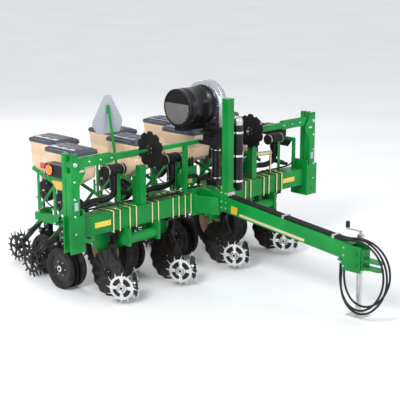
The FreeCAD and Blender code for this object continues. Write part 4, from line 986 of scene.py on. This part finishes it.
def signals():
    """Lamps, reflectors and the slow-vehicle sign."""
    body, node = "main_frame", ["safety_signals"]
    for name, side in SIDES.items():
        low, high = span(side, 1.440, 1.550)
        case = kit.on(body, "plastic", f"lamp_{name}", 0.004, node)
        bar(case, (low, 0.445, 1.185), (high, 0.716, 1.300))
        out = low if side < 0 else high
        glass = kit.on(body, "amber", f"lamp_{name}_lens", 0, node)
        profile = [(0, 0.050), (0.006, 0.050), (0.013, 0.045), (0.019, 0.032), (0.022, 0.015),
                   (0.0225, 0.004)]
        lathe(glass, (out, 0.652, 1.2425), (side, 0, 0), profile, 32)
        turned_ring(case, (out, 0.652, 1.2425), (side, 0, 0), [(0, 0.050), (0, 0.0570), (0.009, 0.0570),
                                                              (0.011, 0.053), (0.009, 0.050)], 32)
        side_red = kit.on(body, "red", f"lamp_{name}_side", 0.002, node)
        x0, x1 = sorted((out - side * 0.018, out - side * 0.006))
        bar(side_red, (x0, 0.742, 1.236), (x1, 0.800, 1.290))
        bar(case, (min(x0, x1 - 0.004), 0.714, 1.240), (max(x1, x0 + 0.004), 0.744, 1.262))
        flap = kit.on(body, "orange" if side < 0 else "plastic", f"lamp_{name}_flap", 0.001, node)
        x0, x1 = sorted((out - side * 0.010, out - side * 0.013))
        plate(flap, [(0.350, 1.146), (0.640, 1.146), (0.575, 1.072), (0.405, 1.072)], x0, x1)
        rear = kit.on(body, "red", f"lamp_{name}_rear", 0.006, node)
        bar(rear, (low + 0.010, 0.708, 1.196), (high - 0.010, 0.720, 1.289))
        steel = kit.on(body, "green", f"lamp_{name}_support", 0.002, node)
        x0, x1 = span(side, 1.500, 1.530)
        bar(steel, (x0, 0.290, 1.150), (x1, 0.700, 1.185))
        bar(steel, (x0, 0.290, 0.853), (x1, 0.320, 1.150))
        tape = kit.on(body, "yellow", "front_reflectors", 0, node)
        x0, x1 = span(side, 1.210, 1.400)
        bar(tape, (x0, BAR_Y - 0.0915, 0.740), (x1, BAR_Y - 0.0885, 0.790))
    pole = kit.on(body, "green", "sign_pole", 0.002, node)
    beam(pole, (-0.830, 0.470, 0.830), (-0.830, 0.646, 1.770), 0.012, 0.028, (1, 0, 0))
    bar(pole, (-0.860, 0.369, 0.800), (-0.800, 0.495, 0.850))
    bar(pole, (-0.842, 0.630, 1.690), (-0.818, 0.662, 1.740))
    back = kit.on(body, "sign", "slow_sign", 0.001, node)
    outline = [(-0.955, 1.490), (-0.675, 1.490), (-0.640, 1.575), (-0.640, 1.612), (-0.785, 1.860),
               (-0.865, 1.860), (-1.020, 1.612), (-1.012, 1.575)]
    plate(back, outline, 0.662, 0.666, "y")
    # The sign's red face uses the glowing lens material; its glow is painted light, for the sign is no lamp.
    front = kit.on(body, "red", "slow_sign_face", 0, node)
    inner = [(-0.930, 1.515), (-0.705, 1.515), (-0.680, 1.600), (-0.815, 1.825), (-0.840, 1.825),
             (-0.980, 1.600)]
    plate(front, inner, 0.666, 0.668, "y")


def fittings(shape, place, axis, radius=0.011):
    """A hydraulic hose end: swaged collar, hexagon and nose."""
    direction, place = Vector(axis).normalized(), Vector(place)
    rod(shape, place, place + direction * radius * 3.2, radius * 1.15, 14)
    hex_nut(shape, place + direction * radius * 3.2, axis, radius * 2.5, radius * 1.1)
    rod(shape, place + direction * radius * 4.3, place + direction * radius * 5.4, radius * 0.8, 12)


def air_manifolds():
    """Black air tees behind the toolbar, one beside each row, with the thick hoses that feed them."""
    for k, row in ROWS.items():
        x, y, z = row + 0.165, 0.405, 1.190
        shape = kit.on("main_frame", "plastic", f"air_tee_{k}", 0.001)
        profile = [(0, 0.034), (0, 0.054), (0.014, 0.054), (0.016, 0.047), (0.050, 0.047), (0.054, 0.056),
                   (0.080, 0.058), (0.150, 0.058), (0.176, 0.056), (0.180, 0.047), (0.214, 0.047),
                   (0.216, 0.054), (0.230, 0.054), (0.230, 0.034)]
        lathe(shape, (x - 0.115, y, z), (1, 0, 0), profile, 32)
        lathe(shape, (x, y, 1.000), (0, 0, 1), [(0, 0.026), (0, 0.048), (0.014, 0.048), (0.016, 0.040),
                                                (0.070, 0.040), (0.090, 0.048), (0.160, 0.048)], 28)
        for i in range(5):
            rod(shape, (x - 0.048 + i * 0.024, y, z), (x - 0.042 + i * 0.024, y, z), 0.0605, 32)
        strap = kit.on("main_frame", "green", f"air_tee_strap_{k}", 0.001)
        bar(strap, (x - 0.020, 0.336, 0.852), (x + 0.020, 0.344, 1.165))
        bits = kit.on("main_frame", "zinc", f"air_tee_clamps_{k}", 0.0008)
        for end in (-0.096, 0.084):
            band(bits, (x + end, y, z), (1, 0, 0), 0.0475, 0.051, 0.012)
        bolt(bits, (x, 0.336, 0.875), (0, -1, 0), 0.009)
        curve(f"air_drop_{k}", [(x, y, 1.005), (x - 0.003, y, 0.985), (x - 0.020, y + 0.002, 0.950),
                                (x - 0.070, y + 0.002, 0.930), (x - 0.165, y, 0.920),
                                (x - 0.250, y, 0.932)], 0.030, "hose", "main_frame")
    thick = {
        "far_left": [(-1.470, 0.412, 0.905), (-1.380, 0.410, 0.912), (-1.290, 0.404, 0.930),
                     (-1.230, 0.404, 0.934)],
        "left": [(-1.000, 0.410, 0.975), (-0.900, 0.402, 0.972), (-0.800, 0.405, 0.935),
                 (-0.700, 0.404, 0.915), (-0.600, 0.404, 0.925), (-0.465, 0.405, 0.932)],
        "middle": [(-0.240, 0.410, 0.985), (-0.120, 0.402, 0.975), (0.020, 0.405, 0.935),
                   (0.150, 0.404, 0.925), (0.297, 0.405, 0.932)],
        "right": [(0.520, 0.410, 0.985), (0.640, 0.402, 0.980), (0.780, 0.405, 0.945), (0.920, 0.404, 0.925),
                  (1.060, 0.405, 0.932)],
        "far_right": [(1.290, 0.412, 0.960), (1.380, 0.410, 0.925), (1.460, 0.406, 0.900)],
    }
    for name, points in thick.items():
        curve(f"air_hose_{name}", points, 0.026, "hose", "main_frame")
        second = [(x, y - 0.052, max(0.898, z - 0.014)) for x, y, z in points]
        if name in ("far_left", "far_right"):
            curve(f"air_hose_{name}_2", second, 0.018, "hose", "main_frame")


def hydraulics():
    """Valve block on the fan stand, with its fittings and the small hoses that cross the toolbar."""
    body = "main_frame"
    block = kit.on(body, "green", "valve_block", 0.003)
    bar(block, (-0.245, 0.250, 0.930), (-0.025, 0.262, 1.120))
    bar(block, (-0.235, 0.262, 0.950), (-0.035, 0.318, 1.060))
    metal_parts = kit.on(body, "zinc", "valve_fittings", 0.0008)
    cores = kit.on(body, "casting", "valve_coils", 0.001)
    for i in range(5):
        x = -0.215 + 0.040 * i
        fittings(metal_parts, (x, 0.290, 1.060), (0, 0, 1), 0.009)
        lathe(cores, (x, 0.250, 1.020), (0, -1, 0), [(0, 0.014), (0.006, 0.017), (0.030, 0.017),
                                                     (0.033, 0.013), (0.038, 0.008)], 18)
        curve(f"valve_hose_{i}", [(x, 0.290, 1.100), (x, 0.290, 1.140),
                                  (x + 0.010, 0.300, 1.175 + 0.008 * i), (x + 0.050, 0.330, 1.160),
                                  (x + 0.070, 0.345, 1.090), (x + 0.075, 0.345, 0.985),
                                  (x + 0.070, 0.342, 0.900)], 0.008, "hose", body)
    tag = kit.on(body, "yellow", "valve_tag", 0.0005)
    plate(tag, [(-0.150, 0.955), (-0.095, 0.955), (-0.095, 1.010), (-0.122, 1.022), (-0.150, 1.010)],
          0.2470, 0.2495, "y")
    lines = {
        "left": [(-0.260, 0.215, 0.885), (-0.420, 0.212, 0.888), (-0.600, 0.222, 0.884),
                 (-0.715, 0.214, 0.892), (-0.735, 0.205, 0.960)],
        "left_low": [(-0.260, 0.252, 0.882), (-0.480, 0.256, 0.886), (-0.700, 0.250, 0.882)],
        "far_left": [(-0.830, 0.330, 0.884), (-1.050, 0.322, 0.886), (-1.280, 0.330, 0.884),
                     (-1.460, 0.312, 0.892), (-1.545, 0.300, 0.940)],
        "right": [(0.250, 0.222, 0.884), (0.450, 0.216, 0.888), (0.640, 0.226, 0.884), (0.725, 0.214, 0.920)],
        "right_low": [(0.260, 0.262, 0.883), (0.500, 0.256, 0.886), (0.720, 0.262, 0.884)],
        "far_right": [(0.830, 0.300, 0.884), (1.050, 0.310, 0.886), (1.300, 0.300, 0.884),
                      (1.470, 0.306, 0.892), (1.545, 0.300, 0.940)],
    }
    for name, points in lines.items():
        curve(f"oil_line_{name}", points, 0.009, "hose", body)
    bright = kit.on(body, "bright", "hose_ends", 0.0006)
    ring_plate = kit.on(body, "zinc", "hose_bulkhead", 0.001)
    bar(ring_plate, (-0.052, -0.1945, 0.877), (0.052, -0.1895, 0.912))
    for x in (-0.030, 0.0, 0.030):
        rod(bright, (x, -0.2060, 0.8770), (x, -0.1940, 0.8784), 0.0125, 16)
    for x in (-0.028, 0.0, 0.028):
        rod(bright, (x, -1.580, 0.497), (x, -1.580, 0.5219), 0.0122, 16)
        hex_nut(bright, (x, -1.580, 0.5345), (0, 0, 1), 0.024, 0.012)


def mast_details():
    body = "main_frame"
    bits = kit.on(body, "zinc", "mast_bolts", 0.0008)
    for side in (-1, 1):
        for z in (0.755, 0.815, 0.905):
            for y in (-0.180, -0.120):
                bolt(bits, (side * 0.059, y, z), (side, 0, 0), 0.010)
        for z in (0.700, 0.840):
            bolt(bits, (side * 0.120, BAR_Y - 0.113, z), (0, -1, 0), 0.011)
        for z in (0.490, 0.590, 0.660):
            bolt(bits, (side * 0.063, -1.640, z), (side, 0, 0), 0.010)
    cap = kit.on(body, "green", "mast_cap", 0.002)
    bar(cap, (-0.044, -0.194, 1.816), (0.044, -0.106, 1.826))
    column = kit.on(body, "black", "oil_accumulator", 0.002)
    lathe(column, (0.140, -0.150, 0.905), (0, 0, 1), [(0, 0.010), (0, 0.044), (0.012, 0.050),
                                                      (0.640, 0.050), (0.650, 0.046)], 32)
    cap = kit.on(body, "zinc", "accumulator_cap", 0.002)
    lathe(cap, (0.140, -0.150, 1.553), (0, 0, 1), [(0, 0.046), (0.030, 0.050), (0.060, 0.044),
                                                   (0.080, 0.028), (0.088, 0.004)], 32)
    clamps = kit.on(body, "bright", "accumulator_clamps", 0.0008)
    for z in (0.990, 1.240, 1.470):
        band(clamps, (0.140, -0.150, z), (0, 0, 1), 0.0502, 0.0540, 0.022)
        bar(clamps, (0.036, -0.158, z), (0.092, -0.142, z + 0.022))
    rods = kit.on(body, "bright", "cylinder_rod", 0.0008)
    rod(rods, (0.470, 0.300, 1.030), (0.820, 0.300, 1.090), 0.013, 18)
    barrel = kit.on(body, "black", "cylinder_barrel", 0.001)
    rod(barrel, (0.200, 0.300, 0.984), (0.480, 0.300, 1.032), 0.026, 24)
    block = kit.on(body, "bright", "cylinder_clevis", 0.002)
    bar(block, (0.800, 0.262, 1.040), (0.860, 0.338, 1.140))
    bar(block, (0.812, 0.262, 0.852), (0.848, 0.300, 1.045))
    coil = kit.on(body, "gold", "latch_spring", 0)
    spring(coil, (0.880, 0.300, 1.090), (1.130, 0.300, 1.075), 0.020, 0.0036, 14)
    bar(coil, (1.120, 0.292, 0.852), (1.136, 0.308, 1.100))


def marker_details():
    """Front plate, back tube and clamps on each inner arm; ladder frame of each outer arm."""
    for name, side in SIDES.items():
        arm = f"marker_arm_{name}"
        steel = kit.on(arm, "green", f"{arm}_plates", 0.002)
        front = [(side * x, z) for x, z in ((1.688, 0.700), (1.606, 0.700), (1.596, 1.180), (1.530, 1.285),
                                            (1.530, 1.325), (1.604, 1.440), (1.688, 1.464))]
        plate(steel, front, 0.152, 0.160, "y")
        x0, x1 = span(side, 1.626, 1.674)
        bar(steel, (x0, 0.262, 0.640), (x1, 0.310, 1.466))
        for z in (0.760, 1.240):
            bar(steel, (x0, 0.234, z), (x1, 0.264, z + 0.060))
        bits = kit.on(arm, "bright", f"{arm}_clamps", 0.001)
        for z in (0.740, 0.900, 1.060, 1.220):
            bolt(bits, (side * 1.660, 0.152, z), (0, -1, 0), 0.011)
        x0, x1 = span(side, 1.556, 1.612)
        bar(bits, (x0, 0.132, 1.302), (x1, 0.151, 1.324))
        bolt(bits, (side * 1.650, 0.152, 1.375), (0, -1, 0), 0.020)
        tag = kit.on(arm, "sign", f"{arm}_tag", 0.0005)
        x0, x1 = span(side, 1.622, 1.664)
        bar(tag, (x0, 0.1495, 0.955), (x1, 0.1515, 1.030))
        outer = f"marker_outer_{name}"
        frame_bars = kit.on(outer, "green", "", 0.002, [outer])
        rod(frame_bars, (side * 1.650, 0.175, 1.375), (side * 1.650, 0.221, 1.375), 0.040, 28)
        for y0, y1 in ((0.175, 0.183), (0.213, 0.221)):
            outline = [(side * x, z) for x, z in ((1.650, 1.332), (1.180, 1.330), (1.180, 1.420),
                                                  (1.560, 1.418), (1.650, 1.412))]
            plate(frame_bars, outline, y0, y1, "y")
        for x in (1.570, 1.420, 1.270):
            x0, x1 = span(side, x - 0.030, x + 0.030)
            bar(frame_bars, (x0, 0.183, 1.334), (x1, 0.213, 1.414))
        x0, x1 = span(side, 0.860, 1.200)
        bar(frame_bars, (x0, 0.178, 1.345), (x1, 0.218, 1.405))
        rod(frame_bars, (side * 0.660, 0.198, 1.375), (side * 0.865, 0.198, 1.375), 0.014, 20)
        ends = kit.on(outer, "bright", f"{outer}_pins", 0.001)
        for x in (1.200, 1.330, 1.460):
            bolt(ends, (side * x, 0.175, 1.375), (0, -1, 0), 0.009)
        hex_nut(ends, (side * 0.655, 0.198, 1.375), (side, 0, 0), 0.028, 0.006)


def row_details():
    for k, row in ROWS.items():
        body = f"row{k}_frame"
        bits = kit.on(body, "zinc", f"row{k}_bolts", 0.0008)
        dark = kit.on(body, "casting", f"row{k}_castings", 0.002)
        for end, (dx, cy) in UNITS.items():
            cx = row + dx
            for side in (-1, 1):
                x = cx + side * 0.047
                beam(dark, (x - side * 0.002, cy, 0.203), (x - side * 0.002, cy + 0.080, 0.430), 0.008,
                     0.058, (1, 0, 0))
                rod(dark, (cx + side * 0.043, cy + 0.080, 0.430), (cx + side * 0.062, cy + 0.080, 0.430),
                    0.030, 20)
                bolt(bits, (cx + side * 0.062, cy + 0.080, 0.430), (side, 0, 0), 0.012)
                bar(dark, (min(cx + side * 0.009, cx + side * 0.030), cy - 0.018, 0.400),
                    (max(cx + side * 0.009, cx + side * 0.030), cy + 0.046, 0.590))
                for z in (0.440, 0.500, 0.560):
                    bolt(bits, (cx + side * 0.030, cy + 0.014, z), (side, 0, 0), 0.009)
                bolt(bits, (cx + side * 0.126, cy, 0.660), (side, 0, 0), 0.012)
            rod(bits, (cx, cy + 0.100, 0.560), (cx, cy + 0.150, 0.760), 0.009, 12)
            rod(bits, (cx - 0.045, cy + 0.150, 0.760), (cx + 0.045, cy + 0.150, 0.760), 0.009, 12)
            spring(dark, (cx - 0.030, cy + 0.130, 0.470), (cx - 0.030, cy + 0.330, 0.360), 0.020, 0.004, 9)
            curve(f"row{k}_{end}_air_hose", [(cx + 0.030, cy - 0.060, 0.900), (cx + 0.032, cy - 0.130, 0.912),
                                             (cx + 0.034, cy - 0.210, 0.880), (cx + 0.036, cy - 0.270, 0.820),
                                             (cx + 0.040, cy - 0.300, 0.760)], 0.022, "hose", body)
            curve(f"row{k}_{end}_drive_cable", [(cx - 0.048, cy + 0.020, 0.850),
                                                (cx - 0.075, cy + 0.015, 0.845),
                                                (cx - 0.090, cy - 0.040, 0.790),
                                                (cx - 0.085, cy - 0.120, 0.730),
                                                (cx - 0.060, cy - 0.220, 0.690)], 0.007, "hose", body)
        for side in (-1, 1):
            for z in (0.500, 0.720):
                bolt(bits, (row + side * 0.112, 0.764, z), (0, 1, 0), 0.011)
        up = f"row{k}_upper_arms"
        coil = kit.on(up, "zinc", f"row{k}_down_springs", 0)
        for side in (-1, 1):
            spring(coil, (row + side * 0.030, 0.480, 0.690), (row + side * 0.030, 0.640, 0.545), 0.017,
                   0.0035, 10)
        pins = kit.on("main_frame", "zinc", "row_pins", 0.0008)
        for side in (-1, 1):
            for z in (0.520, 0.700):
                bolt(pins, (row + side * 0.098, 0.420, z), (side, 0, 0), 0.013)
            bolt(pins, (row + side * 0.065, 0.392, 0.820), (0, 1, 0), 0.010)
            bolt(pins, (row + side * 0.100, 0.392, 0.560), (0, 1, 0), 0.010)
        arm = kit.on("main_frame", "casting", f"row{k}_cleaner_mounts", 0.002)
        bar(arm, (row - 0.030, 0.056, 0.120), (row + 0.030, 0.110, 0.212))
        beam(arm, (row + 0.027, 0.100, 0.170), (row + 0.027, 0.300, 0.470), 0.026, 0.060, (1, 0, 0))
        rod(arm, (row + 0.045, 0.336, 0.222), (row + 0.078, 0.336, 0.222), 0.034, 20)
        bolts = kit.on("main_frame", "zinc", f"row{k}_cleaner_bolts", 0.0008)
        bolt(bolts, (row + 0.078, 0.336, 0.222), (1, 0, 0), 0.014)
        for z, y in ((0.250, 0.155), (0.330, 0.208), (0.410, 0.262)):
            bolt(bolts, (row + 0.040, y, z), (1, 0, 0), 0.009)


def tongue_details():
    """Stripe along the tongue's sides and a plain yellow square at its root."""
    slope = math.radians(6.43)
    start = Vector((0.0, -1.686, 0.543))

    def at(along, rise):
        return start + Vector((0, along * math.cos(slope) - rise * math.sin(slope),
                               along * math.sin(slope) + rise * math.cos(slope)))

    stripe = kit.on("main_frame", "cream", "tongue_stripe", 0)
    square = kit.on("main_frame", "orange", "tongue_square", 0)
    for side in (-1, 1):
        for shape, (a0, a1, r0, r1) in ((stripe, (0.520, 1.340, 0.014, 0.040)),
                                        (square, (1.375, 1.455, 0.014, 0.088))):
            outline = [at(a0, r0), at(a1, r0), at(a1, r1), at(a0, r1)]
            quads(shape, [[(side * x, p.y, p.z) for p in outline] for x in (0.0512, 0.0520)])
    knob = kit.on("jack_crank", "plastic", "jack_grip", 0.001)
    turned_ring(knob, (0.100, -1.552, 0.800), (0, 0, 1),
                [(0, 0.0142), (0, 0.019), (0.006, 0.021), (0.050, 0.019), (0.060, 0.0142)], 24)
    bits = kit.on("main_frame", "zinc", "jack_details", 0.0008)
    for z in (0.430, 0.700):
        band(bits, (0.100, -1.700, z), (0, 0, 1), 0.0322, 0.037, 0.014)


aim_camera()
studio()
hoses()
paint_nodes()
wheels_and_units()
fan()
fasteners()
signals()
air_manifolds()
hydraulics()
mast_details()
marker_details()
row_details()
tongue_details()
kit.finish()
